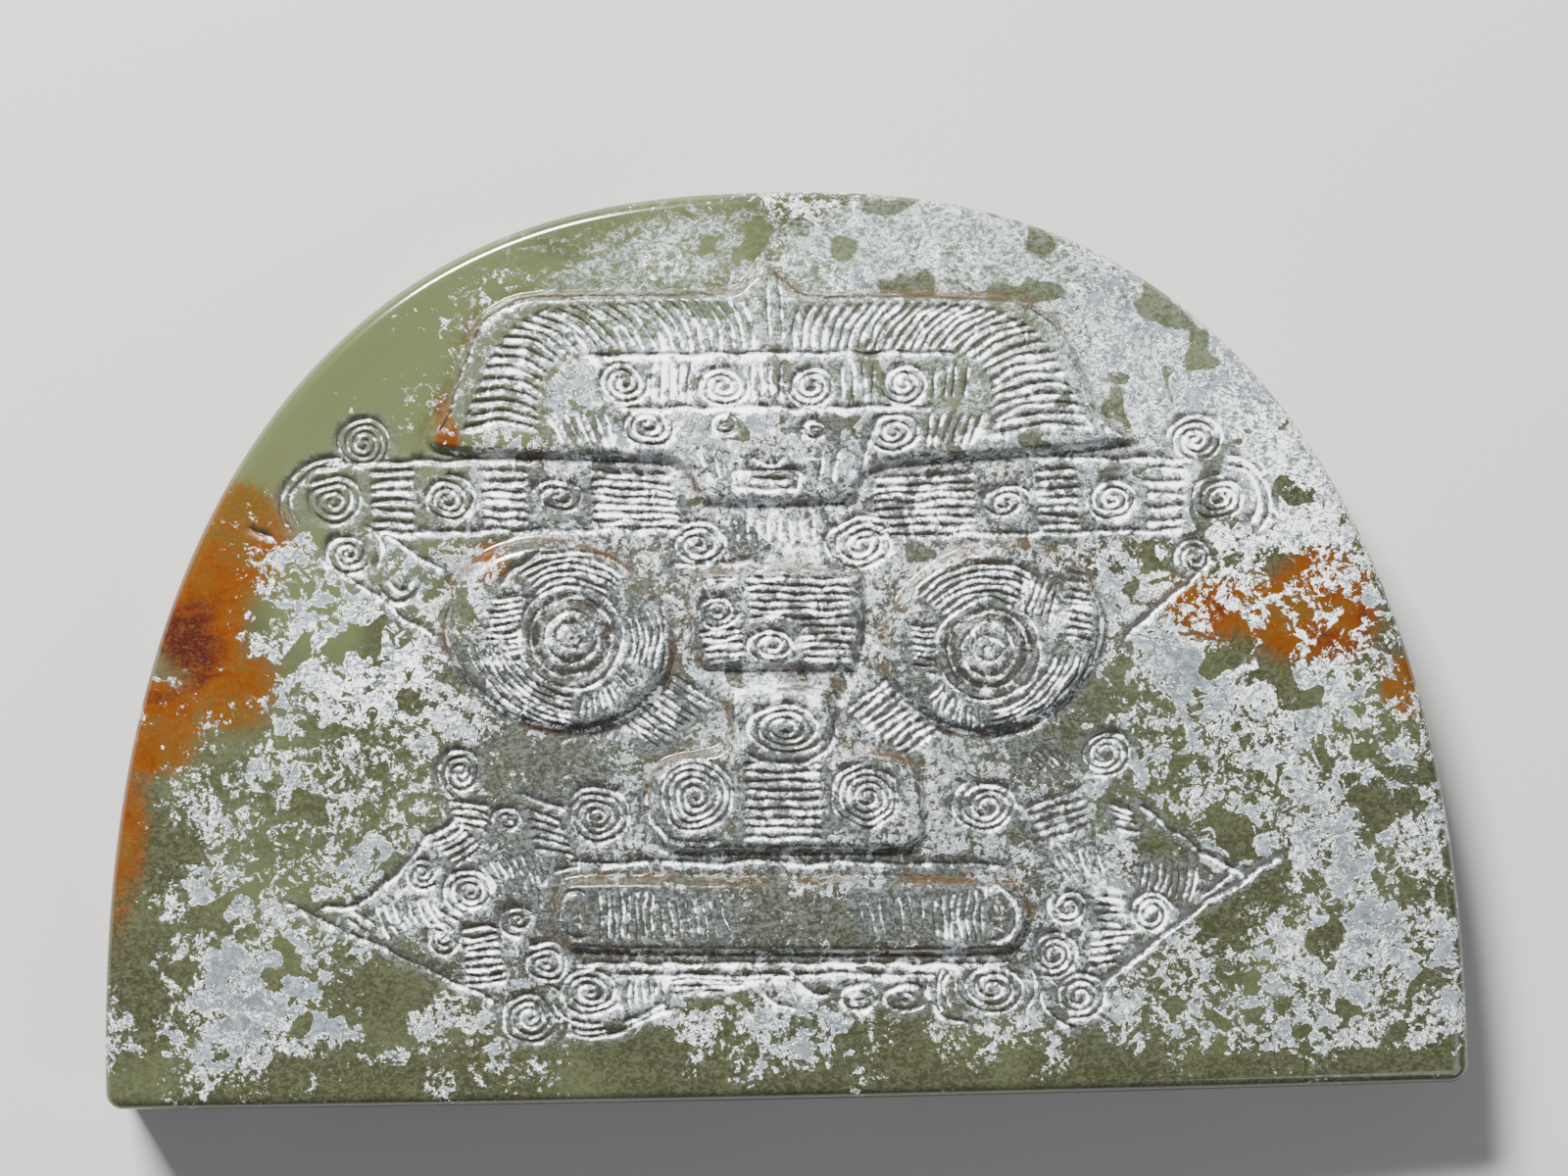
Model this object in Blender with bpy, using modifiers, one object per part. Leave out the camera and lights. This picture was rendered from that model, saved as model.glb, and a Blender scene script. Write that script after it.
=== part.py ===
"""Carved jade plaque in the shape of a low arch, lying on its back with its carved face up.

One stone: a plate with a flat back and a gently domed front. On the front a figure with a broad
feathered headdress stands over a beast mask with two oval eyes, a bridge, a nose and a bar of a
mouth, all in low relief, with spirals and lines cut into it. Three pairs of slanting holes that
meet inside the stone open on the back, for sewing or hanging.

X runs along the straight base, Y from the base to the crown of the arch, Z out of the back and
through the face. The origin is under the middle of the plaque, on the plane that it lies on.
"""

from math import copysign, cos, hypot, pi, radians, sin

import bmesh
import bpy
from mathutils import Matrix, Vector

MM = 0.001

# Plate
WIDTH = 74.0 * MM
HEIGHT = 49.0 * MM
EDGE_THICKNESS = 6.4 * MM
CROWN = 2.3 * MM
CROWN_FALL = 0.6
SIDE_FULLNESS = 2.46
TOP_FULLNESS = 2.33
RIM_ROUNDING = 0.7 * MM
RIM_STEPS = 2
ARCH_STEPS = 52

# Relief: how far each form stands above the front of the plate
HEADDRESS_RELIEF = 0.8 * MM
EYE_RELIEF = 0.75 * MM
BRIDGE_RELIEF = 0.9 * MM
NOSE_RELIEF = 0.8 * MM
MOUTH_RELIEF = 0.65 * MM
RELIEF_BEVEL = 0.45 * MM
ROOT_DEPTH = 2.0 * MM

# Cut lines, V-shaped and twice as wide as they are deep
GROOVE_DEPTH = 0.2 * MM
GROOVE_LIFT = 0.03 * MM
RIDGE_WIDTH = 0.12 * MM
SPIRAL_START = 0.22
SPIRAL_STEPS = 8
RING_STEPS = 12

# Paired holes in the back
HOLE_MOUTH = 2.8 * MM
HOLE_THROAT = 1.7 * MM
HOLE_SPACING = 7.0 * MM
HOLE_DEPTH = 2.4 * MM
HOLE_EDGE_DISTANCE = 10.0 * MM
HOLE_STEPS = 5
HOLE_SIDES = 12
HOLE_OVERRUN = 1.3

# Width of the slices that the front is cut into before it is domed
SLICE = 9.0 * MM

# Faces that meet at less than this angle are one flat face
FLAT = radians(0.2)

# The carving is drawn on a field of 74 by 49 units, measured from the middle of the base.
# Its rows sink a little to the right, and its axis leans a little to the left.
FIELD_WIDTH = 74.0
FIELD_HEIGHT = 49.0
ROW_DROP = 0.024
AXIS_LEAN = 0.02
AXIS_PIVOT = 20.0


def place(x, y):
    """Turn a point of the carver's field into metres on the plate."""
    leaning_x = x - AXIS_LEAN * (y - AXIS_PIVOT)
    sinking_y = y - ROW_DROP * x
    return leaning_x * WIDTH / FIELD_WIDTH, sinking_y * HEIGHT / FIELD_HEIGHT - HEIGHT / 2


def rise(x, y):
    """Height that the dome adds to the front at a place: most at mid-width, near the base."""
    across = 2 * x / WIDTH
    up = y / HEIGHT + 0.5
    return CROWN * (1 - across * across) * (1 - CROWN_FALL * up * up)


def mirrored(points):
    """The same points on the other side of the axis, in reverse order."""
    return [(-x, y) for x, y in reversed(points)]


def both_sides(lines):
    """Lines of the right half and their mirror images."""
    return lines + [(mirrored(points), closed) for points, closed in lines]


def ellipse(x, y, across, up, tilt=0.0, start=0.0, end=360.0, steps=RING_STEPS):
    """Points of an ellipse, or of its arc between two angles, turned by tilt degrees."""
    turn = radians(tilt)
    full_turn = end - start == 360.0
    points = []
    for step in range(steps if full_turn else steps + 1):
        angle = radians(start + (end - start) * step / steps)
        along_axis = across * cos(angle)
        aside = up * sin(angle)
        points.append((x + along_axis * cos(turn) - aside * sin(turn),
                       y + along_axis * sin(turn) + aside * cos(turn)))
    return points


def rounded_bar(half_length, low, high, corner, steps=4):
    """Right half of a bar with round ends, from the top of the axis to its bottom."""
    points = [(0.0, high)]
    for centre_y, start in ((high - corner, 90.0), (low + corner, 0.0)):
        points += ellipse(half_length - corner, centre_y, corner, corner, 0.0,
                          start, start - 90.0, steps)
    return points + [(0.0, low)]


def spiral(x, y, across, up):
    """Spiral that winds from its middle out to an ellipse, with a ridge between its turns."""
    smallest_radius = min(across * WIDTH / FIELD_WIDTH, up * HEIGHT / FIELD_HEIGHT)
    pitch = 2 * (GROOVE_DEPTH + GROOVE_LIFT) + RIDGE_WIDTH
    turns = (1 - SPIRAL_START) * smallest_radius / pitch
    count = int(turns * SPIRAL_STEPS) + 1
    points = []
    for step in range(count + 1):
        share = SPIRAL_START + (1 - SPIRAL_START) * step / count
        angle = 2 * pi * turns * step / count + pi / 2
        points.append((x + across * share * cos(angle), y + up * share * sin(angle)))
    return points


def point_along(path, share):
    """Point at a share of the length of a bent line."""
    lengths = [hypot(b[0] - a[0], b[1] - a[1]) for a, b in zip(path, path[1:])]
    left = share * sum(lengths)
    for a, b, length in zip(path, path[1:], lengths):
        if left <= length:
            part = left / length
            return a[0] + (b[0] - a[0]) * part, a[1] + (b[1] - a[1]) * part
        left -= length
    return path[-1]


def new_collection(name):
    """New collection in the scene."""
    group = bpy.data.collections.new(name)
    bpy.context.scene.collection.children.link(group)
    return group


def curve_to_mesh(curve_object, group):
    """Closed mesh object made from a filled or bevelled curve, in the curve's place."""
    bpy.context.view_layer.update()
    evaluated = curve_object.evaluated_get(bpy.context.evaluated_depsgraph_get())
    mesh = bpy.data.meshes.new_from_object(evaluated)
    shape = bmesh.new()
    shape.from_mesh(mesh)
    bmesh.ops.remove_doubles(shape, verts=shape.verts, dist=0.001 * MM)
    bmesh.ops.dissolve_limit(shape, angle_limit=FLAT, verts=shape.verts, edges=shape.edges)
    bmesh.ops.recalc_face_normals(shape, faces=shape.faces)
    shape.to_mesh(mesh)
    shape.free()
    name = curve_object.name
    place_in_world = curve_object.matrix_world.copy()
    bpy.data.objects.remove(curve_object)
    solid = bpy.data.objects.new(name, mesh)
    solid.matrix_world = place_in_world
    group.objects.link(solid)
    return solid


def prism(name, outline, low, high, rounding, segments, group):
    """Solid between two heights over a flat outline, with its rims rounded or bevelled."""
    curve = bpy.data.curves.new(name, "CURVE")
    curve.dimensions = "2D"
    curve.fill_mode = "BOTH"
    curve.extrude = (high - low) / 2
    spline = curve.splines.new("POLY")
    spline.points.add(len(outline) - 1)
    for point, (x, y) in zip(spline.points, outline):
        point.co = (x, y, 0, 1)
    spline.use_cyclic_u = True
    flat = bpy.data.objects.new(name, curve)
    flat.location.z = (low + high) / 2
    bpy.context.scene.collection.objects.link(flat)
    solid = curve_to_mesh(flat, group)
    bevel = solid.modifiers.new("rims", "BEVEL")
    bevel.width = rounding
    bevel.segments = segments
    bevel.limit_method = "ANGLE"
    bevel.angle_limit = radians(50)
    return solid


def groove_rods(name, lines, relief, group):
    """Cutter for cut lines: square rods laid on the domed front, each with an edge down."""
    curve = bpy.data.curves.new(name, "CURVE")
    curve.dimensions = "3D"
    curve.twist_mode = "Z_UP"
    curve.bevel_depth = GROOVE_DEPTH + GROOVE_LIFT
    curve.bevel_resolution = 0
    curve.use_fill_caps = True
    for points, closed in lines:
        spline = curve.splines.new("POLY")
        spline.points.add(len(points) - 1)
        for point, (field_x, field_y) in zip(spline.points, points):
            x, y = place(field_x, field_y)
            point.co = (x, y, EDGE_THICKNESS + relief + rise(x, y) + GROOVE_LIFT, 1)
        spline.use_cyclic_u = closed
    rods = bpy.data.objects.new(name, curve)
    bpy.context.scene.collection.objects.link(rods)
    return curve_to_mesh(rods, group)


def boolean(solid, other, operation, crossing=False):
    """Join or cut a solid with another one, a hidden guide whose own turns may cross."""
    step = solid.modifiers.new(other.name, "BOOLEAN")
    step.operation = operation
    step.solver = "EXACT"
    step.use_self = crossing
    step.object = other
    other.hide_render = True
    other.display_type = "WIRE"


def bake(solid):
    """Replace a solid's mesh by what its modifiers make of it."""
    bpy.context.view_layer.update()
    evaluated = solid.evaluated_get(bpy.context.evaluated_depsgraph_get())
    mesh = bpy.data.meshes.new_from_object(evaluated)
    solid.modifiers.clear()
    solid.data = mesh


def dome(solid):
    """Slice a flat-fronted solid along X and Y and raise its front half to the dome."""
    shape = bmesh.new()
    shape.from_mesh(solid.data)
    shape.transform(solid.matrix_world)
    solid.matrix_world = Matrix()
    bmesh.ops.dissolve_limit(shape, angle_limit=FLAT, verts=shape.verts, edges=shape.edges)
    for size, normal in ((WIDTH, Vector((1, 0, 0))), (HEIGHT, Vector((0, 1, 0)))):
        count = int(size / SLICE)
        for cut in range(1, count):
            offset = size * (cut / count - 0.5)
            front = [face for face in shape.faces
                     if face.calc_center_median().z > EDGE_THICKNESS / 2]
            edges = {edge for face in front for edge in face.edges}
            corners = {corner for face in front for corner in face.verts}
            bmesh.ops.bisect_plane(shape, geom=list(corners) + list(edges) + front,
                                   dist=0.01 * MM, plane_co=normal * offset, plane_no=normal)
    bmesh.ops.triangulate(shape, faces=shape.faces)
    for vertex in shape.verts:
        share = 2 * vertex.co.z / EDGE_THICKNESS - 1
        vertex.co.z += min(max(share, 0.0), 1.0) * rise(vertex.co.x, vertex.co.y)
    shape.to_mesh(solid.data)
    shape.free()


def arch_outline():
    """Outline of the plate: a superellipse over a straight base."""
    points = []
    for step in range(ARCH_STEPS + 1):
        angle = pi * step / ARCH_STEPS
        across = copysign(abs(cos(angle)) ** (2 / SIDE_FULLNESS), cos(angle))
        up = max(sin(angle), 0.0) ** (2 / TOP_FULLNESS)
        points.append((across * WIDTH / 2, up * HEIGHT - HEIGHT / 2))
    return points


def whole(right_half):
    """Whole outline on the plate from its right half."""
    left_half = [point for point in mirrored(right_half) if point[0] < 0]
    return [place(x, y) for x, y in right_half + left_half]


def headdress_outline():
    """Feathered headdress with the small face below its brim, as one raised form."""
    return whole([
        (0.0, 45.6), (0.7, 44.6), (1.6, 43.9), (3.0, 43.6), (12.4, 43.3), (14.4, 42.8),
        (15.7, 41.7), (16.6, 39.8), (17.3, 37.8), (18.2, 36.4), (19.2, 35.3), (18.4, 34.8),
        (11.0, 34.5), (6.4, 34.2), (5.0, 33.6), (4.3, 32.2)])


def eye_outline(side):
    """Oval of one eye, which slopes down towards the nose."""
    oval = ellipse(11.7, 24.95, 6.4, 5.1, 20, steps=28)
    return [place(x, y) for x, y in (oval if side > 0 else mirrored(oval))]


def bridge_outline():
    """Panel between the eyes."""
    return whole([(4.3, 28.5), (4.6, 28.0), (4.4, 25.6), (4.1, 23.5), (3.7, 23.1)])


def nose_outline():
    """Tip of the nose above its broad wings."""
    return whole([
        (3.0, 22.3), (3.1, 20.4), (3.7, 19.0), (6.0, 18.6), (7.0, 18.0), (7.4, 17.0),
        (7.4, 14.6), (7.1, 13.9), (6.4, 13.5)])


def mouth_outline():
    """Long bar with round ends."""
    return whole(rounded_bar(12.8, 8.0, 12.0, 1.9))


def headdress_lines():
    """Fan of feathers, the brim with its spirals, and the eyes and mouth of the small face."""
    feather_tips = [(1.3, 43.1), (12.0, 42.6), (14.6, 41.4), (15.8, 39.0), (16.9, 36.2)]
    feather_roots = [(1.1, 41.2), (9.4, 41.2), (12.2, 39.8), (12.6, 38.0), (12.8, 35.7)]
    feathers = 9
    half = []
    for feather in range(feathers):
        share = (feather + 0.5) / feathers
        half.append(([point_along(feather_roots, share), point_along(feather_tips, share)], False))
    for x in (2.4, 7.6):
        half.append((spiral(x, 38.7, 1.3, 1.1), False))
    for x in (4.4, 5.2, 9.6):
        half.append(([(x, 39.7), (x, 37.9)], False))
    half.append((spiral(6.7, 35.9, 1.2, 0.9), False))
    for x in (8.8, 9.7, 10.6):
        half.append(([(x, 36.8), (x, 35.3)], False))
    half.append((ellipse(2.4, 35.9, 0.5, 0.45, steps=8), True))
    middle = [
        ([(0.0, 44.0), (0.0, 41.0)], False),
        ([(-9.8, 40.4), (9.8, 40.4)], False),
        ([(-9.0, 37.25), (9.0, 37.25)], False),
        ([(-1.5, 33.4), (1.5, 33.4)], False)]
    return both_sides(half) + middle


def eye_lines():
    """Pupil ring of each eye, the dark ring around it and arcs under the lids."""
    half = [
        (ellipse(11.1, 24.6, 1.4, 1.4), True),
        (ellipse(11.2, 24.6, 2.7, 2.6), True),
        (ellipse(11.6, 24.8, 5.0, 3.9, 20, 250, 420, 9), False)]
    return both_sides(half)


def bridge_lines():
    """Lines across the bridge around its spiral."""
    lines = [(spiral(0.0, 24.6, 1.4, 0.9), False)]
    for y in (26.1, 26.9, 27.7):
        lines.append(([(-3.4, y), (3.4, y)], False))
    return lines


def nose_lines():
    """Spiral on the tip of the nose, one on each wing, and lines between the wings."""
    half = [(spiral(4.5, 16.3, 2.2, 2.0), False)]
    middle = [(spiral(0.0, 20.3, 2.1, 1.2), False)]
    for y in (14.8, 15.6, 16.4, 17.2, 18.0):
        middle.append(([(-1.6, y), (1.6, y)], False))
    return both_sides(half) + middle


def mouth_lines():
    """Curved corner of the mouth, a row of teeth and a zigzag of fangs on each side."""
    fangs = [(2.4 + 0.9 * step, 8.7 if step % 2 else 11.3) for step in range(6)]
    half = [
        (ellipse(10.7, 10.0, 1.2, 1.3, 0.0, -100, 100, 6), False),
        (fangs, False)]
    for x in (7.9, 8.6, 9.3, 10.0):
        half.append(([(x, 11.3), (x, 8.7)], False))
    return both_sides(half)


def field_lines():
    """Arms beside the small face, lips, and the bent legs with their claws."""
    arm = [
        ([(4.9, 31.0), (24.6, 31.0)], False),
        ([(8.0, 34.0), (22.8, 34.0)], False),
        (ellipse(24.0, 32.9, 2.5, 2.2, 0.0, -40, 80, 6), False),
        (spiral(11.9, 32.5, 1.2, 0.9), False),
        (spiral(17.9, 32.5, 1.2, 0.9), False),
        (spiral(23.6, 32.5, 1.3, 1.0), False),
        (spiral(22.6, 35.6, 1.2, 1.1), False),
        (spiral(22.6, 29.0, 1.0, 1.0), False),
        ([(24.4, 28.6), (18.6, 24.9)], False)]
    for y in (31.9, 33.0):
        arm.append(([(6.0, y), (10.2, y)], False))
        arm.append(([(13.7, y), (16.1, y)], False))
    leg_spirals = (
        (10.2, 15.6, 1.8, 1.5), (16.9, 17.6, 1.2, 1.2), (18.6, 11.9, 1.3, 1.1),
        (15.4, 9.6, 1.2, 1.0), (10.9, 5.9, 1.5, 1.1), (14.2, 4.4, 1.5, 1.1))
    leg = [(spiral(x, y, across, up), False) for x, y, across, up in leg_spirals]
    leg += [
        ([(26.7, 11.6), (17.0, 6.2)], False),
        ([(24.6, 11.9), (20.9, 14.1), (19.0, 15.6)], False),
        (ellipse(5.6, 5.2, 0.9, 0.6, steps=8), True),
        (ellipse(3.2, 5.6, 0.9, 0.6, steps=8), True),
        ([(8.6, 4.5), (10.2, 3.5), (11.6, 3.8)], False)]
    lips = [
        ([(-11.6, 12.9), (11.6, 12.9)], False),
        ([(-8.6, 7.2), (8.6, 7.2)], False)]
    return both_sides(arm + leg) + lips


def hole_pair(name, centre_x, centre_y, group):
    """Tunnel that dips into the back between two flared mouths, like a shallow arch."""
    curve = bpy.data.curves.new(name, "CURVE")
    curve.dimensions = "3D"
    curve.bevel_depth = HOLE_THROAT / 2
    curve.bevel_resolution = (HOLE_SIDES - 4) // 2
    curve.use_fill_caps = True
    spline = curve.splines.new("POLY")
    spline.points.add(2 * HOLE_STEPS)
    for step, point in enumerate(spline.points):
        share = (step / HOLE_STEPS - 1) * HOLE_OVERRUN
        x = centre_x + share * HOLE_SPACING / 2
        point.co = (x, centre_y, HOLE_DEPTH * (1 - share * share), 1)
        point.radius = 1 + (HOLE_MOUTH / HOLE_THROAT - 1) * share * share
    tunnel = bpy.data.objects.new(name, curve)
    bpy.context.scene.collection.objects.link(tunnel)
    return curve_to_mesh(tunnel, group)


def jade():
    """Polished jade, green under its white clouds."""
    material = bpy.data.materials.new("jade")
    material.use_nodes = True
    shader = material.node_tree.nodes["Principled BSDF"]
    shader.inputs["Base Color"].default_value = (0.36, 0.42, 0.30, 1)
    shader.inputs["Roughness"].default_value = 0.3
    shader.inputs["Metallic"].default_value = 0.0
    return material


def jade_plaque(parts, guides):
    """Plate with its relief, domed, then cut with lines and holes."""
    front = EDGE_THICKNESS
    plaque = prism("jade_plaque", arch_outline(), 0.0, front, RIM_ROUNDING, RIM_STEPS, parts)
    forms = (
        ("headdress", headdress_outline(), HEADDRESS_RELIEF),
        ("left eye", eye_outline(-1), EYE_RELIEF),
        ("right eye", eye_outline(1), EYE_RELIEF),
        ("bridge", bridge_outline(), BRIDGE_RELIEF),
        ("nose", nose_outline(), NOSE_RELIEF),
        ("mouth", mouth_outline(), MOUTH_RELIEF))
    for name, outline, relief in forms:
        root = front - ROOT_DEPTH
        form = prism(name, outline, root, front + relief, RELIEF_BEVEL, 1, guides)
        boolean(plaque, form, "UNION")
    low = -HEIGHT / 2 + HOLE_EDGE_DISTANCE
    side = WIDTH / 2 - HOLE_EDGE_DISTANCE - HOLE_SPACING / 2
    high = HEIGHT / 2 - HOLE_EDGE_DISTANCE
    for name, x, y in (("crown holes", 0, high), ("left holes", -side, low),
                       ("right holes", side, low)):
        boolean(plaque, hole_pair(name, x, y, guides), "DIFFERENCE")
    bake(plaque)
    dome(plaque)
    cuts = (
        ("headdress lines", headdress_lines(), HEADDRESS_RELIEF),
        ("eye lines", eye_lines(), EYE_RELIEF),
        ("bridge lines", bridge_lines(), BRIDGE_RELIEF),
        ("nose lines", nose_lines(), NOSE_RELIEF),
        ("mouth lines", mouth_lines(), MOUTH_RELIEF),
        ("field lines", field_lines(), 0.0))
    for name, lines, relief in cuts:
        boolean(plaque, groove_rods(name, lines, relief, guides), "DIFFERENCE", True)
    plaque.data.materials.clear()
    plaque.data.materials.append(jade())
    return plaque


for old in list(bpy.data.objects):
    bpy.data.objects.remove(old)
jade_plaque(new_collection("jade_face_pendant"), new_collection("guides"))
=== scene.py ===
# %% [markdown]
# A carved jade plaque that fits in the palm of a hand. It lies on its back on a pale table, and
# the camera looks straight down on its face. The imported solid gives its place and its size, and
# the finer stone made below stays inside its box.

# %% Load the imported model
import math
import bpy
import numpy as np
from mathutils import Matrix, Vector
from mathutils.geometry import delaunay_2d_cdt


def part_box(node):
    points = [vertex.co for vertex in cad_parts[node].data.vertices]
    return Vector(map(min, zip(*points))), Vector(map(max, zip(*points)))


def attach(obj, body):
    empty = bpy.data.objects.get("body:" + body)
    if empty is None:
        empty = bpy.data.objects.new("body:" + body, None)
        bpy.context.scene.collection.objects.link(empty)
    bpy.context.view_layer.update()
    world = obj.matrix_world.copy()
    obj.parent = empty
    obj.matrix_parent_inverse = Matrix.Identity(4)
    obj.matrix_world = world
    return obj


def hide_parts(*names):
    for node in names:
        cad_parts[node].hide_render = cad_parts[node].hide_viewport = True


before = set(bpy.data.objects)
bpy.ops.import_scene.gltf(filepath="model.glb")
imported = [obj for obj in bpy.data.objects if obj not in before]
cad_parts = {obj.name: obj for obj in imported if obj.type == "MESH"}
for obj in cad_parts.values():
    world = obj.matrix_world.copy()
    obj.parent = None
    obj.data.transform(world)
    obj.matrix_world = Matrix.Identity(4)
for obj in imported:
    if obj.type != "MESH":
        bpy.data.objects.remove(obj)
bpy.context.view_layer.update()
low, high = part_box("jade_plaque")
MM = 0.001
WIDE = (high.x - low.x) / MM
TALL = (high.y - low.y) / MM
print(f"solid plaque: {WIDE:.1f} x {TALL:.1f} x {(high.z - low.z) / MM:.1f} mm")

# %% [markdown]
# Camera. It looks square on through a long lens, so that the outline keeps its true shape. It is
# turned by about one degree instead of the stone, because the stone has to stay where its solid is.

# %% Camera straight above the face
LENS = 100.0
SENSOR = 36.0
PICTURE_WIDTH = 85.2
AIM = (0.41, 3.06)
RIM_HEIGHT = 5.7
TURN = math.radians(-1.19)


def put(name, data):
    """New object in the scene."""
    made = bpy.data.objects.new(name, data)
    bpy.context.scene.collection.objects.link(made)
    return made


camera_data = bpy.data.cameras.new("camera")
camera_data.lens = LENS
camera_data.sensor_width = SENSOR
camera_data.clip_start = 0.01
camera_data.clip_end = 10.0
camera = put("camera", camera_data)
distance = PICTURE_WIDTH * LENS / SENSOR
camera.location = (AIM[0] * MM, AIM[1] * MM, (RIM_HEIGHT + distance) * MM)
camera.rotation_euler = (0.0, 0.0, TURN)
bpy.context.scene.camera = camera
print(f"camera {distance:.0f} mm above the rim")

# %% [markdown]
# Paths. Everything on the face is drawn in millimetres, x from the middle and y up from the base,
# as a carver would lay it out with dividers. Blender's curve objects could hold the paths. Plain
# arrays of points are used, because they can be smoothed, cut into even steps and measured all at
# once.

# %% Helpers for paths
BATCH = 2000


def smooth(points, closed=False, parts=8):
    """Catmull-Rom curve through the points: each piece is a cubic whose slope at a point is half
    the step from the point before it to the point after it."""
    points = np.asarray(points, float)
    if closed:
        padded = np.vstack([points[-1:], points, points[:2]])
    else:
        padded = np.vstack([2 * points[:1] - points[1:2], points, 2 * points[-1:] - points[-2:-1]])
    t = np.linspace(0, 1, parts + 1)[:-1, None, None]
    a, b, c, d = padded[:-3], padded[1:-2], padded[2:-1], padded[3:]
    curve = b + 0.5 * t * (c - a + t * (2 * a - 5 * b + 4 * c - d + t * (3 * b - a - 3 * c + d)))
    curve = curve.transpose(1, 0, 2).reshape(-1, 2)
    return curve if closed else np.vstack([curve, points[-1:]])


def read_off(path, along, stops):
    """Points of the path at the stops, by its running length."""
    return np.column_stack([np.interp(stops, along, path[:, axis]) for axis in (0, 1)])


def even_steps(path, step, closed=False):
    """The same path with points at equal distances along it."""
    path = np.asarray(path, float)
    if closed:
        path = np.vstack([path, path[:1]])
    along = np.concatenate([[0], np.cumsum(np.hypot(*np.diff(path, axis=0).T))])
    count = max(round(along[-1] / step), 2)
    stops = np.linspace(0, along[-1], count + 1)
    return read_off(path, along, stops[:-1] if closed else stops)


def sideways(path, closed=False):
    """Unit vectors square to the path, on its right: the direction to the next point less the
    direction to the last one, turned by a quarter."""
    if closed:
        step = np.roll(path, -1, 0) - np.roll(path, 1, 0)
    else:
        step = np.gradient(path, axis=0)
    step /= np.maximum(np.hypot(*step.T)[:, None], 1e-9)
    return np.column_stack([step[:, 1], -step[:, 0]])


def nearest(points, path):
    """Distance of each point from the path, and how far along the path its nearest place is."""
    step = np.diff(path, axis=0)
    squares = np.maximum((step ** 2).sum(1), 1e-12)
    lengths = np.sqrt(squares)
    before = np.concatenate([[0], np.cumsum(lengths)])[:-1]
    distances = np.empty(len(points))
    places = np.empty(len(points))
    for first in range(0, len(points), BATCH):
        part = slice(first, first + BATCH)
        offset = points[part, None, :] - path[:-1]
        share = np.clip((offset * step).sum(2) / squares, 0, 1)
        gaps = ((offset - share[..., None] * step) ** 2).sum(2)
        best = gaps.argmin(1)
        rows = np.arange(len(best))
        distances[part] = np.sqrt(gaps[rows, best])
        places[part] = before[best] + share[rows, best] * lengths[best]
    return distances, places


def within(points, outline):
    """True where a point lies inside the outline: a line to the right crosses it an odd number
    of times."""
    ax, ay = outline.T
    bx, by = np.roll(outline, -1, 0).T
    flat = np.abs(by - ay) < 1e-9
    slope = np.where(flat, 0, (bx - ax) / np.where(flat, 1, by - ay))
    odd = np.zeros(len(points), bool)
    for first in range(0, len(points), BATCH):
        part = slice(first, first + BATCH)
        x, y = points[part, :1], points[part, 1:]
        crosses = ((ay > y) != (by > y)) & (x < ax + (y - ay) * slope)
        odd[part] = crosses.sum(1) % 2 == 1
    return odd


def ease(share):
    """Smooth step from 0 to 1: flat at both ends and steepest halfway."""
    share = np.clip(share, 0, 1)
    return share * share * (3 - 2 * share)


def waves(points, size, amount, seed):
    """Gentle unevenness: a sum of six slanting sine waves with lengths near the given size."""
    draw = np.random.default_rng(seed)
    total = np.zeros(len(points))
    for wave in range(6):
        heading = draw.uniform(0, 2 * np.pi)
        length = size * draw.uniform(0.6, 1.6)
        phase = draw.uniform(0, 2 * np.pi)
        along = points[:, 0] * np.cos(heading) + points[:, 1] * np.sin(heading)
        total += np.sin(2 * np.pi * along / length + phase)
    return amount * total / 6


# %% [markdown]
# The plate. Its outline is a superellipse over a straight base, the front is a low dome, and the
# rims are rounded by wear and polish. These are the same curves as the solid's, only finer. They
# could be traced point by point, but a few named sizes are easier to change.

# %% Outline and dome of the plate
EDGE_THICKNESS = 6.4
CROWN = 2.3
CROWN_FALL = 0.6
SIDE_FULLNESS = 2.46
TOP_FULLNESS = 2.33
CORNER = 0.95
RIM = 0.7
OUTLINE_STEP = 0.36


def rise(points):
    """Height that the dome adds: it falls off with the square of x, and with the square of y up
    to the crown."""
    across = 2 * points[:, 0] / WIDE
    up = points[:, 1] / TALL
    return CROWN * (1 - across ** 2) * (1 - CROWN_FALL * up ** 2)


def plate_outline():
    """Outline against the clock from the middle of the base: half the base, a round corner, the
    superellipse, the other corner and the rest of the base. Corners get closer points."""
    turn = np.linspace(0, np.pi, 3001)
    arch_x = np.sign(np.cos(turn)) * np.abs(np.cos(turn)) ** (2 / SIDE_FULLNESS) * WIDE / 2
    arch_y = np.maximum(np.sin(turn), 0) ** (2 / TOP_FULLNESS) * TALL
    arch = np.column_stack([arch_x, arch_y])
    arch = arch[arch[:, 1] > CORNER]
    bend = np.linspace(-np.pi / 2, 0, 25)
    right = np.column_stack([WIDE / 2 - CORNER + CORNER * np.cos(bend), CORNER + CORNER * np.sin(bend)])
    left = right[::-1] * (-1, 1)
    whole = np.vstack([[(0, 0)], right, arch, left, [(0, 0)]])
    step = np.diff(whole, axis=0)
    heading = np.unwrap(np.arctan2(step[:, 1], step[:, 0]))
    bending = np.abs(np.diff(heading, prepend=heading[0]))
    along = np.concatenate([[0], np.cumsum(np.hypot(*step.T) + 1.2 * bending)])
    stops = np.linspace(0, along[-1], round(along[-1] / OUTLINE_STEP) + 1)[:-1]
    return read_off(whole, along, stops)


outline = plate_outline()
outward = sideways(outline, closed=True)
border = outline - RIM * outward
print(f"outline: {len(outline)} points")

# %% [markdown]
# Raised forms. The carver left six fields standing: the headdress with the small face, two eyes,
# the bridge, the nose and the mouth. Solids joined to the plate would meet it in a crease. So each
# is an outline and a height: the stone rises to that height over a rounded bevel, and a shallow
# moat in front of it makes the edge read.

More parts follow.
